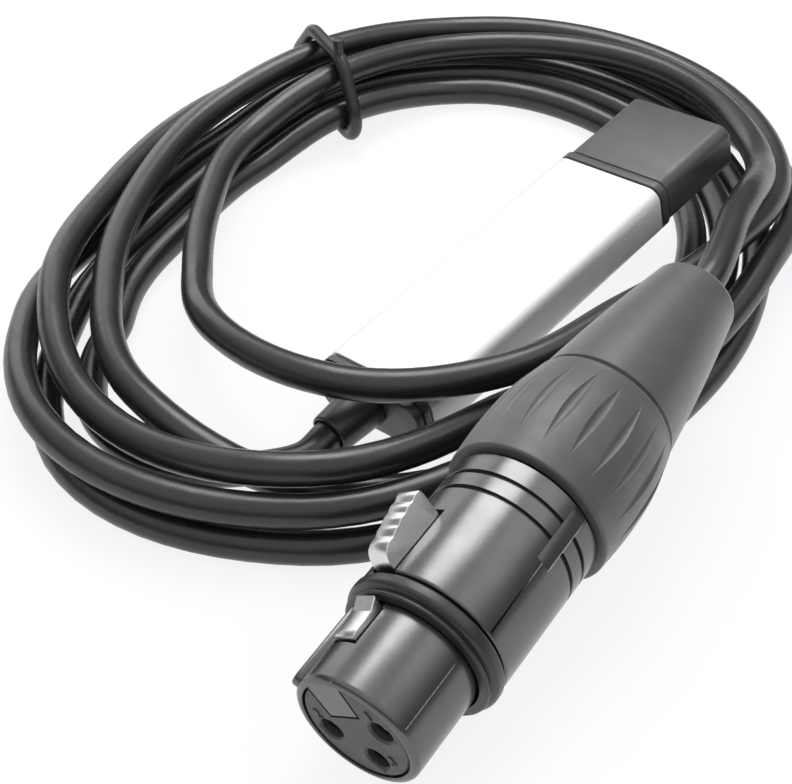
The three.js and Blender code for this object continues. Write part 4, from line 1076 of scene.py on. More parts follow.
@dataclass
class SocketConnector:
    """The three-contact socket connector, along Y from its mating face."""

    placing: Placing = Placing((-79.86, 80.73, 8.45), 7.7, -35.1, 8.05)
    nose_radius: float = 7.93
    nose_length: float = 11.4
    nose_rim: float = 0.8
    mouth_edge: float = 0.12
    body_radius: float = 9.72
    body_length: float = 19.6
    body_edge: float = 0.4
    body_rear_edge: float = 0.25
    tail_radius: float = 9.0
    tail_length: float = 8.0
    tail_wall: float = 1.0
    insert_radius: float = 6.75
    insert_recess: float = 0.2
    insert_gap: float = 0.15
    insert_length: float = 19.7
    insert_edge: float = 0.2
    tongue_inner: float = 2.26
    tongue_inner_width: float = 4.4
    tongue_outer_width: float = 5.1
    tongue_length: float = 19.3
    contact_circle: float = 4.2
    contact_angles: tuple[float, ...] = (90.0, -90.0, 180.0)
    hole_radius: float = 1.45
    hole_length: float = 1.0
    hole_edge: float = 0.25
    contact_radius: float = 1.6
    contact_bore: float = 1.2
    contact_length: float = 23.0
    contact_inner_edge: float = 0.15
    contact_outer_edge: float = 0.1
    contact_depth: float = 9.0
    cup_depth: float = 3.0
    slit_width: float = 0.35
    slit_length: float = 6.0
    numeral_places: tuple[tuple[float, float], ...] = ((4.36, 2.5), (-4.48, 2.35), (2.47, -4.35))
    numeral_size: float = 1.9
    numeral_height: float = 0.12
    numeral_edge: float = 0.02
    ring_width: float = 2.7
    ring_radius: float = 9.95
    lip_drop: float = 0.55
    lip_round: float = 0.3
    waist_drop: float = 0.75
    waist_place: float = 0.75
    crest_place: float = 1.6
    crest_round: float = 0.75
    ring_rear_round: float = 0.45
    ring_smooth: float = 45.0
    rib_angle: float = -34.0
    rib_width: float = 2.4
    rib_height: float = 0.7
    rib_start: float = 0.2
    rib_edge: float = 0.35
    groove_width: float = 0.66
    groove_depth: float = 0.42
    groove_slope: float = 0.12
    groove_flare: float = 0.4
    groove_shares: tuple[float, ...] = (0.69, 0.822)
    channel_angle: float = 89.4
    channel_width: float = 2.3
    channel_length: float = 8.6
    channel_depth: float = 0.24
    channel_edge: float = 0.12
    seam_angle: float = 88.0
    seam_width: float = 0.1
    seam_depth: float = 0.06
    grip_length: float = 17.7
    grip_radii: tuple[float, ...] = (10.67, 11.0, 10.75, 9.58)
    grip_edge: float = 0.45
    grip_tilt: float = 8.0
    grip_rear_bore: float = 7.2
    grip_rear_wall: float = 6.8
    grip_steps: int = 160
    flute_count: int = 20
    flute_depth: float = 0.4
    flute_cutter: float = 0.95
    flute_power: float = 1.4
    flute_turn: float = 4.0
    flute_shares: tuple[float, float] = (0.13, 0.93)
    boot_length: float = 24.1
    boot_front_radius: float = 9.35
    boot_rear_radius: float = 5.95
    boot_bulge: float = 0.22
    boot_edge: float = 0.3
    boot_round: float = 0.9
    boot_steps: int = 12
    boot_flange: float = 1.7
    cord_bore: float = 2.55

    def __post_init__(self) -> None:
        """Works out where each length ends."""
        self.shoulder = self.nose_length + self.ring_width + FIT_GAP
        self.body_end = self.shoulder + self.body_length
        self.tail_end = self.body_end + self.tail_length
        self.insert_bore = self.insert_radius + self.insert_gap
        self.insert_end = self.insert_recess + self.insert_length
        self.grip_start = self.body_end + FIT_GAP
        self.grip_end = self.grip_start + self.grip_length
        self.boot_start = self.grip_end + FIT_GAP
        self.boot_end = self.boot_start + self.boot_length
        self.matrix = self.placing.matrix()

    def boot_mouth(self) -> Mouth:
        """Returns where the cable leaves the boot, and the direction it leaves in."""
        return mouth_of(self.matrix, self.boot_end + FIT_GAP)

    def build(self, latch: LatchLever) -> None:
        """Builds every piece of the connector that shows.

        Args:
            latch: The lever that stands in its slot.
        """
        self.shell(latch)
        self.insert()
        self.contacts()
        self.numerals()
        self.sealing_ring()
        self.grip()
        self.boot()
        latch.build(self.matrix)

    def shell(self, latch: LatchLever) -> None:
        """Turns the black shell and cuts its grooves, channel, seam and slot.

        Args:
            latch: The lever that the slot is cut for.
        """
        rim, edge, rear_edge = self.nose_rim, self.body_edge, self.body_rear_edge
        nose, body = self.nose_radius, self.body_radius
        bore = self.tail_radius - self.tail_wall
        shell = turned(
            "shell",
            [
                (self.insert_bore, self.mouth_edge),
                (self.insert_bore + self.mouth_edge, 0),
                *arc((nose - rim, rim), rim, -90, 0),
                (nose, self.shoulder),
                *arc((body - edge, self.shoulder + edge), edge, -90, 0),
                (body, self.body_end - rear_edge),
                (body - rear_edge, self.body_end),
                (self.tail_radius, self.body_end),
                (self.tail_radius, self.tail_end),
                (bore, self.tail_end),
                (bore, self.insert_end + FIT_GAP),
                (self.insert_bore, self.insert_end + FIT_GAP),
            ],
        )
        fused(shell, self.key_tongue(), self.nose_rib())
        cut(shell, *self.grooves(), self.channel(), *self.seams())
        cut(shell, latch.slot(self.body_radius))
        finish_piece(shell, self.matrix, SHELL_BLACK, ["connector_shell"])

    def key_section(self, gap: float, top: float) -> list[tuple[float, float]]:
        """Draws the section of the key tongue.

        Args:
            gap: Room left round it.
            top: Height at which it ends.

        Returns:
            Its corners, as pairs across and up.
        """
        inner, outer = self.tongue_inner_width / 2 + gap, self.tongue_outer_width / 2 + gap
        low = self.tongue_inner - gap
        return [(-inner, low), (inner, low), (outer, top), (-outer, top)]

    def key_tongue(self) -> Piece:
        """Makes the tongue that stands in the insert's keyway.

        Returns:
            The piece, to be fused to the shell.
        """
        section = self.key_section(0, (self.insert_bore + self.nose_radius) / 2)
        start = self.insert_recess
        return rail("tongue", section, start, start + self.tongue_length)

    def nose_rib(self) -> Piece:
        """Makes the long soft-edged rib on the nose.

        Returns:
            The piece, to be fused to the shell.
        """
        half, end = self.rib_width / 2, self.nose_length
        floor = self.insert_bore + FIT_GAP
        front = arc((0, self.rib_start + half), half, 180, 360)
        points = [Vector((x, y, floor)) for x, y in [(half, end), (-half, end), *front]]
        reach = Vector((0, 0, self.nose_radius + self.rib_height - floor))
        rib = soften(extruded("rib", points, reach), self.rib_edge, segments=4)
        return moved(rib, angle=self.rib_angle)

    def grooves(self) -> list[Piece]:
        """Makes the cutters of the two grooves, which stop at the channel's sides.

        Returns:
            The cutters.
        """
        outside = self.body_radius + OVERRUN
        floor = self.body_radius - self.groove_depth
        slope, flare = self.groove_slope, self.groove_flare
        gap = math.degrees(self.channel_width / self.body_radius)
        cutters = []
        for share in self.groove_shares:
            start = self.shoulder + share * self.body_length
            end = start + self.groove_width
            outline = [
                (floor, start + slope),
                (self.body_radius, start),
                (outside, start - flare),
                (outside, end + flare),
                (self.body_radius, end),
                (floor, end - slope),
            ]
            cutter = turned("groove", outline, sweep=360 - gap)
            sides = [Vector((v.co.x, v.co.z)) for v in cutter.data.vertices]
            filled = sum(sides, Vector((0, 0)))
            opening = math.degrees(math.atan2(-filled.x, -filled.y))
            cutters.append(moved(cutter, angle=self.channel_angle - opening))
        return cutters

    def channel(self) -> Piece:
        """Makes the cutter of the flat channel that the grooves run into.

        Returns:
            The cutter.
        """
        height = 2 * OVERRUN
        start, end = self.body_end - self.channel_length, self.body_end + OVERRUN
        middle = (0, self.body_radius - self.channel_depth + height / 2)
        cutter = bar("channel", (self.channel_width, height), start, end, middle=middle)
        return moved(soften(cutter, self.channel_edge), angle=self.channel_angle)

    def seams(self) -> list[Piece]:
        """Makes the cutters of the long parting line on the nose and the body.

        Returns:
            The cutters.
        """
        cutters = []
        half, depth = 3 * self.seam_width / 2, self.seam_depth
        for radius, start, end in (
            (self.nose_radius, self.nose_rim, self.nose_length),
            (self.body_radius, self.shoulder + self.body_edge, self.body_end),
        ):
            section = [(-half, radius + 2 * depth), (0, radius - depth), (half, radius + 2 * depth)]
            seam = rail("seam", section, start, end + SLIVER)
            cutters.append(moved(seam, angle=self.seam_angle))
        return cutters

    def insert(self) -> None:
        """Makes the moulded insert with its keyway and three contact holes."""
        radius, start, end = self.insert_radius, self.insert_recess, self.insert_end
        edge = self.insert_edge
        rim = [(radius - edge, start), (radius, start + edge), (radius, end)]
        insert = turned("insert", [(0, start), *rim, (0, end)])
        section = self.key_section(FIT_GAP, radius + OVERRUN)
        cut(insert, rail("keyway", section, start - OVERRUN, end + OVERRUN))
        hole, edge = self.hole_radius, self.hole_edge
        bore, step = self.contact_radius + FIT_GAP, start + self.hole_length
        outline = [
            (0, start - OVERRUN),
            (hole + edge, start - OVERRUN),
            (hole + edge, start),
            (hole, start + edge),
            (hole, step),
            (bore, step),
            (bore, end + OVERRUN),
            (0, end + OVERRUN),
        ]
        for angle in self.contact_angles:
            cutter = turned("bore", outline, SMALL_STEPS)
            moved(cutter, shift=(0, 0, self.contact_circle))
            cut(insert, moved(cutter, angle=angle))
        finish_piece(insert, self.matrix, INSERT_BLACK, ["contact_insert"])

    def contacts(self) -> None:
        """Makes the three slit socket contacts with their solder cups."""
        start = self.insert_recess + self.hole_length + FIT_GAP
        end = start + self.contact_length
        outer, bore = self.contact_radius, self.contact_bore
        inner_edge, outer_edge = self.contact_inner_edge, self.contact_outer_edge
        cup, cup_floor = bore / 2 + outer / 4, end - self.cup_depth
        outline = [
            (bore + inner_edge, start),
            (outer - outer_edge, start),
            (outer, start + outer_edge),
            (outer, end),
            (cup, end),
            (cup, cup_floor),
            (0, cup_floor),
            (0, start + self.contact_depth),
            (bore, start + self.contact_depth),
            (bore, start + inner_edge),
        ]
        wide = 2 * outer + OVERRUN
        for number, angle in enumerate(self.contact_angles, start=1):
            contact = turned(f"socket_contact_{number}", outline, SMALL_STEPS)
            slit = bar("slit", (wide, self.slit_width), start - OVERRUN, start + self.slit_length)
            mouth = bar("mouth", (wide, outer + OVERRUN), cup_floor, end + OVERRUN)
            cut(contact, slit, moved(mouth, shift=(0, 0, outer / 2 + OVERRUN)))
            moved(contact, shift=(0, 0, self.contact_circle))
            moved(contact, angle=angle)
            finish_piece(contact, self.matrix, NICKEL, [f"contact_{number}"])

    def numerals(self) -> None:
        """Raises the plain numbers 1, 2 and 3 beside the contacts."""
        for number, (x, z) in enumerate(self.numeral_places, start=1):
            deselect()
            bpy.ops.object.text_add(location=(0, 0, 0))
            numeral = bpy.context.active_object
            numeral.name = f"numeral_{number}"
            numeral.data.body = str(number)
            numeral.data.size = self.numeral_size * MM
            numeral.data.extrude = self.numeral_height * MM
            numeral.data.bevel_depth = self.numeral_edge * MM
            numeral.data.align_x = numeral.data.align_y = "CENTER"
            bpy.ops.object.convert(target="MESH")
            moved(numeral, "X", 90, (x, self.insert_recess, z))
            finish_piece(numeral, self.matrix, INSERT_BLACK, [])

    def sealing_ring(self) -> None:
        """Turns the rubber ring with its thin front lip and round back."""
        inner, outer = self.nose_radius + FIT_GAP, self.ring_radius
        front, rear = self.nose_length, self.nose_length + self.ring_width
        lip, crest, back = self.lip_round, self.crest_round, self.ring_rear_round
        outline = [
            (inner, rear),
            (inner, front),
            *arc((outer - self.lip_drop - lip, front + lip), lip, -90, 60),
            (outer - self.waist_drop, front + self.waist_place),
            *arc((outer - crest, front + self.crest_place), crest, -75, 0),
            *arc((outer - back, rear - back), back, 0, 90),
        ]
        ring = turned("seal_ring", outline)
        nodes = ["sealing_ring"]
        finish_piece(ring, self.matrix, RING_BLACK, nodes, smooth=self.ring_smooth)

    def grip_radius(self, share: float) -> float:
        """Returns the outer radius at a share of the grip's length."""
        return curve_through(self.grip_radii, share * (len(self.grip_radii) - 1))

    def grip(self) -> None:
        """Turns the grip sleeve and scoops its lens-shaped flutes."""
        start, length, edge = self.grip_start, self.grip_length, self.grip_edge
        crown = []
        first, last = edge / length, 1 - edge / length
        for i in range(CROWN_STEPS + 1):
            share = first + (last - first) * i / CROWN_STEPS
            crown.append((self.grip_radius(share), start + share * length))
        front, rear = crown[0][0], crown[-1][0]
        bore = self.tail_radius + FIT_GAP
        step = self.grip_end - self.grip_rear_wall
        outline = [
            (bore, start),
            *arc((front - edge, start + edge), edge, -90, -self.grip_tilt),
            *crown,
            *arc((rear - edge, self.grip_end - edge), edge, self.grip_tilt, 90),
            (self.grip_rear_bore, self.grip_end),
            (self.grip_rear_bore, step),
            (bore, step),
        ]
        grip = turned("grip", outline, self.grip_steps)
        for number in range(self.flute_count):
            angle = number * 360 / self.flute_count + self.flute_turn
            cut(grip, moved(self.flute(), angle=angle))
        finish_piece(grip, self.matrix, GRIP_BLACK, ["grip_sleeve"])

    def swell(self, share: float) -> float:
        """Returns how full a flute's cutter is at a share of its length."""
        return math.sin(math.pi * min(max(share, 0), 1)) ** self.flute_power

    def flute(self) -> Piece:
        """Makes the cutter of one long flute, a slim spindle that lies along the crown.

        Returns:
            The cutter.
        """
        first, last = self.flute_shares
        low, high = (self.grip_start + s * self.grip_length for s in self.flute_shares)
        outline = [(0, low)]
        for i in range(1, CROWN_STEPS):
            share = i / CROWN_STEPS
            outline.append((self.flute_cutter * self.swell(share), low + (high - low) * share))
        spindle = turned("flute", [*outline, (0, high)], SMALL_STEPS)
        rise = self.flute_cutter - self.flute_depth
        with editing(spindle):
            mesh = bmesh.from_edit_mesh(spindle.data)
            for corner in mesh.verts:
                along = (corner.co.y / MM - low) / (high - low)
                crown = self.grip_radius(first + along * (last - first))
                corner.co.z += (crown + rise * self.swell(along)) * MM
            bmesh.update_edit_mesh(spindle.data)
        return spindle

    def boot(self) -> None:
        """Turns the tapered rubber boot with its stem and flange."""
        stem, bore, edge = self.grip_rear_bore - FIT_GAP, self.cord_bore, self.boot_edge
        flange_end = self.grip_end - self.grip_rear_wall - FIT_GAP
        flange_start = flange_end - self.boot_flange
        start, end, rounding = self.boot_start, self.boot_end, self.boot_round
        front, rear = self.boot_front_radius, self.boot_rear_radius
        side = []
        for i in range(self.boot_steps + 1):
            share = i / self.boot_steps
            bulge = self.boot_bulge * math.sin(math.pi * share)
            along = start + edge + share * (end - rounding - start - edge)
            side.append((front + (rear - front) * share + bulge, along))
        outline = [
            (bore, flange_start),
            (self.tail_radius, flange_start),
            (self.tail_radius, flange_end),
            (stem, flange_end),
            (stem, start),
            (front - edge, start),
            *side,
            *arc((rear - rounding, end - rounding), rounding, 8, 90),
            (bore + edge, end),
            (bore, end - edge),
        ]
        boot = turned("boot", outline)
        finish_piece(boot, self.matrix, BOOT_BLACK, ["rubber_boot"])


@dataclass
class LatchLever:
    """The bright latch lever: hook, waist under the ring and serrated thumb fin."""

    thickness: float = 3.2
    pivot_y: float = 26.5
    pivot_z: float = 5.6
    eye_radius: float = 1.2
    pin_radius: float = 0.6
    floor: float = 6.2
    waist: float = 7.6
    hook_start: float = 5.7
    hook_length: float = 5.2
    hook_top: float = 9.35
    fin_start: float = 14.5
    fin_length: float = 9.1
    fin_height: float = 13.45
    edge: float = 0.13
    smooth: float = 22.0
    slot_rear: float = 0.7
    slot_floor: float = 3.8
    hook_shares: tuple[tuple[float, float], ...] = (
        (0, 0), (0.01, 0.54), (0.03, 0.66), (0.08, 0.7), (0.2, 0.72), (0.5, 0.735),
        (0.71, 0.75), (1, 1),
    )
    fin_shares: tuple[tuple[float, float], ...] = (
        (0.02, 0), (0.02, 0.3), (0.025, 0.48), (0.045, 0.59), (0.06, 0.64), (0.08, 0.685),
        (0.11, 0.73), (0.165, 0.769), (0.22, 0.785), (0.27, 0.78), (0.31, 0.8),
        (0.36, 0.838), (0.41, 0.848), (0.45, 0.855), (0.49, 0.885), (0.55, 0.908),
        (0.6, 0.9), (0.64, 0.917), (0.69, 0.952), (0.74, 0.955), (0.785, 0.944),
        (0.82, 0.96), (0.865, 0.99), (0.91, 1), (0.95, 0.985), (0.975, 0.945),
        (0.99, 0.85), (1, 0.3),
    )

    def slot(self, reach: float) -> Piece:
        """Makes the cutter of the slot that the lever stands in.

        Args:
            reach: Radius that the slot opens through.

        Returns:
            The cutter.
        """
        height = reach + OVERRUN - self.slot_floor
        size = (self.thickness + 2 * FIT_GAP, height)
        end = self.fin_start + self.fin_length + self.slot_rear
        middle = (0, self.slot_floor + height / 2)
        return bar("slot", size, self.hook_start - FIT_GAP, end, middle=middle)

    def outline(self) -> list[tuple[float, float]]:
        """Draws the lever's side view.

        Returns:
            Its corners, as pairs along and up.
        """
        fin_rise, hook_rise = self.fin_height - self.waist, self.hook_top - self.floor
        fin = [
            (self.fin_start + along * self.fin_length, self.waist + up * fin_rise)
            for along, up in reversed(self.fin_shares)
        ]
        hook = [
            (self.hook_start + along * self.hook_length, self.floor + up * hook_rise)
            for along, up in reversed(self.hook_shares)
        ]
        return [
            (self.pivot_y - 2 * self.eye_radius, self.floor),
            (self.pivot_y - self.eye_radius, self.pivot_z - self.eye_radius),
            *arc((self.pivot_y, self.pivot_z), self.eye_radius, -90, 90),
            (self.fin_start + self.fin_length + FIT_GAP, self.pivot_z + self.eye_radius),
            *fin,
            (self.hook_start + self.hook_length, self.waist),
            *hook,
        ]

    def build(self, matrix: Matrix) -> None:
        """Extrudes the lever, rounds its edges and bores its eye.

        Args:
            matrix: Matrix that lays the connector down.
        """
        half = self.thickness / 2
        points = [Vector((-half, y, z)) for y, z in self.outline()]
        lever = extruded("latch", points, Vector((self.thickness, 0, 0)))
        round_edges(lever, self.edge, 3, lambda a, b: abs(a.x - b.x) < half * MM)
        eye = rod("eye", self.pin_radius + FIT_GAP, -half - OVERRUN, half + OVERRUN)
        cut(lever, moved(eye, "Z", 90, (0, self.pivot_y, self.pivot_z)))
        finish_piece(lever, matrix, NICKEL, ["latch_lever"], Body.LATCH, self.smooth)


# Stick


@dataclass
class UsbStick:
    """The metal-cased USB stick, along Y from the cable end of its case."""

    placing: Placing = Placing((-117.8, 126.1, 5.1), 9.3, -5.9, 0.0)
    width: float = 18.5
    height: float = 7.8
    length: float = 49.3
    corner: float = 2.0
    wall: float = 1.2
    case_edge: float = 0.12
    slot_depth: float = 0.6
    slot_height: float = 1.6
    slot_drop: float = 0.9
    bezel: float = 1.5
    bezel_edge: float = 0.2
    spigot: float = 3.0
    end_cap: float = 2.7
    end_cap_edge: float = 0.3
    line_width: float = 0.4
    line_depth: float = 0.3
    entry_rise: float = 1.0
    cord_bore: float = 2.55
    relief_length: float = 7.0
    relief_base: float = 3.4
    relief_tip: float = 2.95
    relief_round: float = 0.3
    cap_length: float = 15.7
    cap_inset: float = 0.25
    cap_edge: float = 0.6
    cap_mouth_edge: float = 0.18
    cap_room: float = 1.1
    plug_width: float = 12.0
    plug_height: float = 4.5
    plug_wall: float = 0.3
    plug_corner: float = 0.5
    plug_inner_corner: float = 0.35
    plug_edge: float = 0.08
    plug_length: float = 18.7
    plug_reach: float = 13.1
    hole_size: tuple[float, float] = (2.2, 2.1)
    hole_setback: float = 7.2
    hole_side: float = 2.55
    fold_size: tuple[float, float] = (0.12, 0.5)
    tongue: float = 1.8
    tongue_edge: float = 0.15
    setback: float = 0.6
    pad_count: int = 4
    pad_pitch: float = 2.3
    pad_size: tuple[float, float] = (1.1, 0.3)
    pad_length: float = 8.0
    pad_edge: float = 0.1

    def __post_init__(self) -> None:
        """Works out where each length ends."""
        self.matrix = self.placing.matrix()
        self.bezel_start = self.length + FIT_GAP
        self.bezel_end = self.bezel_start + self.bezel
        self.plug_end = self.bezel_end + self.plug_reach
        self.plug_start = self.plug_end - self.plug_length
        self.cap_start = self.bezel_end + FIT_GAP
        self.end_cap_start = -FIT_GAP - self.end_cap
        self.relief_start = self.end_cap_start - FIT_GAP
        self.relief_end = self.relief_start - self.relief_length

    def relief_mouth(self) -> Mouth:
        """Returns where the cable enters the strain relief, and the direction it enters in."""
        return mouth_of(self.matrix, self.relief_end - FIT_GAP, self.entry_rise)

    def build(self) -> None:
        """Builds every piece of the stick that shows."""
        self.case()
        self.front_bezel()
        self.rear_cap()
        self.strain_relief()
        self.usb_cap()
        self.plug_shell()
        self.plug_block()

    def inside(self, inset: float) -> tuple[float, float]:
        """Returns the stick's width and height, less an inset on every side."""
        return self.width - 2 * inset, self.height - 2 * inset

    def case(self) -> None:
        """Makes the drawn aluminium tube with its two board slots."""
        case = bar("case", self.inside(0), 0, self.length, self.corner)
        soften(case, self.case_edge)
        start, end = -OVERRUN, self.length + OVERRUN
        bore = self.inside(self.wall)
        slots = (bore[0] + 2 * self.slot_depth, self.slot_height)
        cut(
            case,
            bar("bore", bore, start, end, self.corner - self.wall),
            bar("slots", slots, start, end, middle=(0, -self.slot_drop)),
        )
        finish_piece(case, self.matrix, ALUMINIUM, ["metal_case"])

    def spigot_bar(self, start: float, end: float) -> Piece:
        """Makes the spigot with which an end piece sits in the case."""
        return bar("spigot", self.inside(self.wall + FIT_GAP), start, end, self.corner - self.wall)

    def window(self, start: float, end: float) -> Piece:
        """Makes the cutter of an opening that the plug passes through."""
        size = (self.plug_width + 2 * FIT_GAP, self.plug_height + 2 * FIT_GAP)
        return bar("window", size, start, end, self.plug_corner + FIT_GAP)

    def front_bezel(self) -> None:
        """Makes the thin black plate round the plug."""
        start, end = self.bezel_start, self.bezel_end
        bezel = soften(bar("bezel", self.inside(0), start, end, self.corner), self.bezel_edge)
        fused(bezel, self.spigot_bar(self.length - self.spigot, start + self.bezel / 2))
        cut(bezel, self.window(self.plug_start - OVERRUN, end + OVERRUN))
        finish_piece(bezel, self.matrix, CAP_BLACK, ["front_bezel"])

    def rear_cap(self) -> None:
        """Makes the black rear end cap with the thin line round it."""
        start, end = self.end_cap_start, -FIT_GAP
        cap = soften(bar("rear_cap", self.inside(0), start, end, self.corner), self.end_cap_edge)
        middle = (start + end) / 2
        fused(cap, self.spigot_bar(middle, self.spigot))
        low, high = middle - self.line_width / 2, middle + self.line_width / 2
        outer = bar("outer", self.inside(-OVERRUN / 2), low, high, self.corner)
        inner_size, inner_corner = self.inside(self.line_depth), self.corner - self.line_depth
        inner = bar("inner", inner_size, low - OVERRUN, high + OVERRUN, inner_corner)
        entry = rod("entry", self.cord_bore, start - OVERRUN, self.spigot + OVERRUN)
        moved(entry, shift=(0, 0, self.entry_rise))
        cut(cap, cut(outer, inner), entry)
        finish_piece(cap, self.matrix, CAP_BLACK, ["rear_end_cap"])

    def strain_relief(self) -> None:
        """Turns the short tapered strain relief."""
        bore, base, tip = self.cord_bore, self.relief_base, self.relief_tip
        start, end, rounding = self.relief_start, self.relief_end, self.relief_round
        outline = [
            (bore, end),
            *arc((tip - rounding, end + rounding), rounding, -90, 0),
            (base, start),
            (bore, start),
        ]
        relief = turned("relief_sleeve", outline, SMALL_STEPS * 2)
        moved(relief, shift=(0, 0, self.entry_rise))
        finish_piece(relief, self.matrix, RING_BLACK, ["strain_relief"])

    def usb_cap(self) -> None:
        """Makes the pull-off cap with its pocket for the plug."""
        end = self.cap_start + self.cap_length
        cap = bar("pull_off_cap", self.inside(self.cap_inset), self.cap_start, end, self.corner)
        far, near = (end - SLIVER) * MM, (self.cap_start + SLIVER) * MM
        round_edges(cap, self.cap_edge, 5, lambda a, b: min(a.y, b.y) > far)
        round_edges(cap, self.cap_mouth_edge, 3, lambda a, b: max(a.y, b.y) < near)
        cut(cap, self.window(self.cap_start - OVERRUN, self.plug_end + self.cap_room))
        finish_piece(cap, self.matrix, CAP_BLACK, ["usb_cap"], Body.CAP)

    def plug_shell(self) -> None:
        """Makes the folded steel sleeve with its two pairs of windows."""
        size = (self.plug_width, self.plug_height)
        start, end = self.plug_start, self.plug_end
        shell = soften(bar("plug_shell", size, start, end, self.plug_corner), self.plug_edge)
        inner = tuple(s - 2 * self.plug_wall for s in size)
        before, after = start - OVERRUN, end + OVERRUN
        cut(shell, bar("inner", inner, before, after, self.plug_inner_corner))
        width, length = self.hole_size
        low = end - self.hole_setback
        for side in (-1, 1):
            middle = (side * self.hole_side, 0)
            cut(shell, bar("hole", (width, size[1] + OVERRUN), low, low + length, middle=middle))
        cut(shell, bar("fold", self.fold_size, before, after, middle=(0, -size[1] / 2)))
        finish_piece(shell, self.matrix, PLUG_STEEL, ["usb_plug_shell"])

    def plug_block(self) -> None:
        """Makes the white contact block and its four gold contacts."""
        half = self.plug_width / 2 - self.plug_wall - FIT_GAP
        floor = -self.plug_height / 2 + self.plug_wall + FIT_GAP
        end = self.plug_end - self.setback
        middle, size = (0, floor + self.tongue / 2), (2 * half, self.tongue)
        block = bar("plug_block", size, self.plug_start, end, middle=middle)
        soften(block, self.tongue_edge)
        finish_piece(block, self.matrix, PLUG_WHITE, ["usb_contact_block"])
        rise = floor + self.tongue + FIT_GAP + self.pad_size[1] / 2
        tip = end - self.setback
        for i in range(self.pad_count):
            middle = ((i - (self.pad_count - 1) / 2) * self.pad_pitch, rise)
            start = tip - self.pad_length
            pad = bar(f"plug_contact_{i + 1}", self.pad_size, start, tip, middle=middle)
            soften(pad, self.pad_edge)
            finish_piece(pad, self.matrix, CONTACT_GOLD, [f"usb_contact_{i + 1}"])


# Studio


@dataclass(frozen=True)
class Lamp:
    """A square soft lamp that faces the object.

    Its heading and height are angles in degrees, its distance and size are in metres, and
    its power is in watts.
    """

    name: str
    heading: float
    height: float
    distance: float
    size: float
    power: float

    def build(self) -> None:
        """Hangs the lamp."""
        data = bpy.data.lights.new(self.name, "AREA")
        data.shape = "SQUARE"
        data.size = self.size
        data.energy = self.power
        lamp = bpy.data.objects.new(self.name, data)
        way = facing(self.heading, self.height)
        lamp.location = way * self.distance
        lamp.rotation_euler = way.to_track_quat("Z", "Y").to_euler()
        bpy.context.scene.collection.objects.link(lamp)


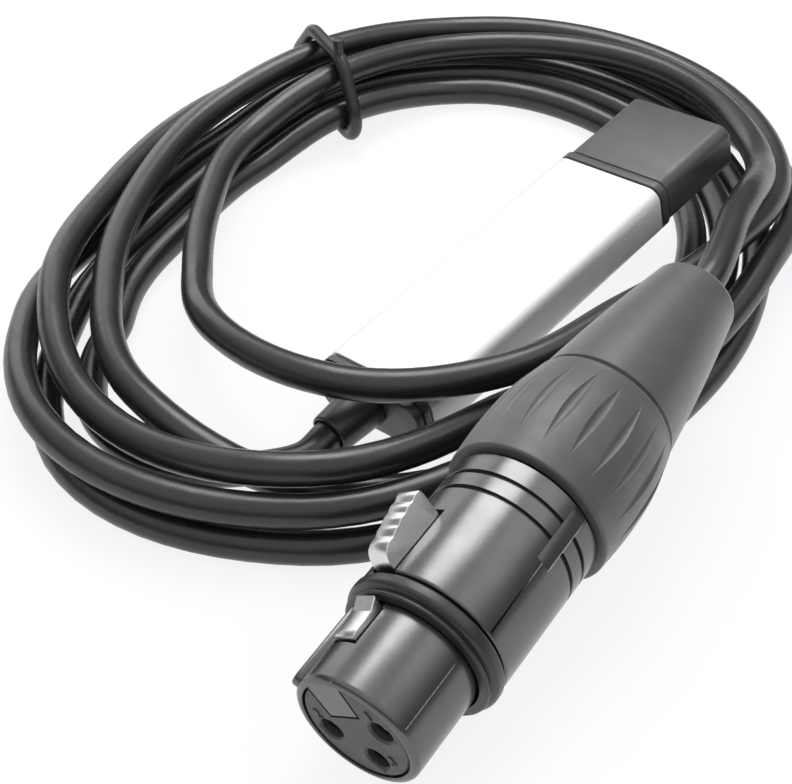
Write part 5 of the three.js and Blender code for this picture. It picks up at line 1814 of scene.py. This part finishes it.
@dataclass
class Studio:
    """Camera, pale floor, room and soft lamps."""

    lens: float = 77.27
    sensor: float = 36.0
    clip_start: float = 0.01
    camera_height: float = 150.3
    camera_tilt: float = 50.0
    camera_heading: float = 42.5
    floor_size: float = 3.0
    floor_colour: tuple[float, ...] = (0.9, 0.9, 0.9, 1.0)
    floor_shown: float = 0.86
    world_low: float = 0.2
    world_high: float = 0.9
    world_edges: tuple[float, float] = (0.22, 0.75)
    lamps: tuple[Lamp, ...] = (
        Lamp("key", 131, 60, 0.75, 0.42, 3.0),
        Lamp("left", 160, 18, 0.9, 0.5, 1.2),
        Lamp("right", 52, 50, 0.9, 0.5, 0.5),
    )

    def camera(self) -> None:
        """Places the camera where the photograph was taken from."""
        data = bpy.data.cameras.new("camera")
        data.lens = self.lens
        data.sensor_width = self.sensor
        data.clip_start = self.clip_start
        camera = bpy.data.objects.new("camera", data)
        camera.location = on_bench((0, 0, self.camera_height))
        turns = (math.radians(self.camera_tilt), 0, math.radians(self.camera_heading))
        camera.rotation_euler = turns
        bpy.context.scene.collection.objects.link(camera)
        bpy.context.scene.camera = camera

    def floor(self) -> None:
        """Lays the pale floor, which keeps the object's soft shadow."""
        deselect()
        bpy.ops.mesh.primitive_plane_add(size=self.floor_size)
        floor = bpy.context.active_object
        floor.name = "floor"
        material = bpy.data.materials.new("floor")
        material.use_nodes = True
        tree = material.node_tree
        tree.nodes.clear()
        paint = add_node(tree, "BsdfDiffuse", {"Color": self.floor_colour})
        glow = add_node(tree, "Emission", {})
        inputs = {"Fac": self.shown_ray(tree), 1: paint.outputs["BSDF"]}
        mix = add_node(tree, "MixShader", {**inputs, 2: glow.outputs["Emission"]})
        add_node(tree, "OutputMaterial", {"Surface": mix.outputs["Shader"]})
        floor.data.materials.append(material)

    def shown_ray(self, tree: Tree) -> Socket:
        """Tells the rays that show the floor from the rays that light the object.

        Args:
            tree: Tree of the floor's material.

        Returns:
            A share for camera, glossy and transmission rays, and 0 for others.
        """
        path = add_node(tree, "LightPath", {})
        total = path.outputs["Is Camera Ray"]
        for name in ("Is Glossy Ray", "Is Transmission Ray"):
            inputs = {0: total, 1: path.outputs[name]}
            total = add_node(tree, "Math", inputs, operation="MAXIMUM").outputs["Value"]
        inputs = {0: total, 1: self.floor_shown}
        return add_node(tree, "Math", inputs, operation="MULTIPLY").outputs["Value"]

    def world(self) -> None:
        """Makes the room: white to the camera, and grey from horizon to ceiling."""
        world = bpy.data.worlds.new("studio")
        world.use_nodes = True
        tree = world.node_tree
        tree.nodes.clear()
        place = add_node(tree, "TexCoord", {}).outputs["Generated"]
        inputs = {
            "Value": add_node(tree, "SeparateXYZ", {"Vector": place}).outputs["Z"],
            "From Min": self.world_edges[0],
            "From Max": self.world_edges[1],
            "To Min": self.world_low,
            "To Max": self.world_high,
        }
        ramp = add_node(tree, "MapRange", inputs, interpolation_type="SMOOTHSTEP")
        room = add_node(tree, "Background", {"Color": WHITE, "Strength": ramp.outputs["Result"]})
        backdrop = add_node(tree, "Background", {"Color": WHITE})
        path = add_node(tree, "LightPath", {})
        inputs = {"Fac": path.outputs["Is Camera Ray"], 1: room.outputs["Background"]}
        mix = add_node(tree, "MixShader", {**inputs, 2: backdrop.outputs["Background"]})
        add_node(tree, "OutputWorld", {"Surface": mix.outputs["Shader"]})
        bpy.context.scene.world = world

    def build(self) -> None:
        """Sets up the floor, the room and the lamps."""
        self.floor()
        self.world()
        for lamp in self.lamps:
            lamp.build()
        bpy.context.scene.view_settings.view_transform = "Standard"


# The whole


def dress_frame(nodes: dict[str, Piece]) -> None:
    """Gives the CAD nodes that stay their finishes.

    Args:
        nodes: The frame's nodes by name.
    """
    for name, finish in NODE_FINISHES.items():
        for place in nodes[name].material_slots:
            place.material = finish.material()
        LOG.info("%s: CAD node, %s", name, finish.slot)


def main() -> None:
    """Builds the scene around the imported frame."""
    logging.basicConfig(level=logging.INFO, format="%(name)s: %(message)s")
    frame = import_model()
    studio = Studio()
    studio.camera()
    connector, latch, stick = SocketConnector(), LatchLever(), UsbStick()
    cable = Cable()
    cable.build(cable.route(connector.boot_mouth(), stick.relief_mouth()))
    CableTie().build(cable)
    connector.build(latch)
    stick.build()
    dress_frame(frame["nodes"])
    studio.build()


if __name__ == "__main__":
    main()
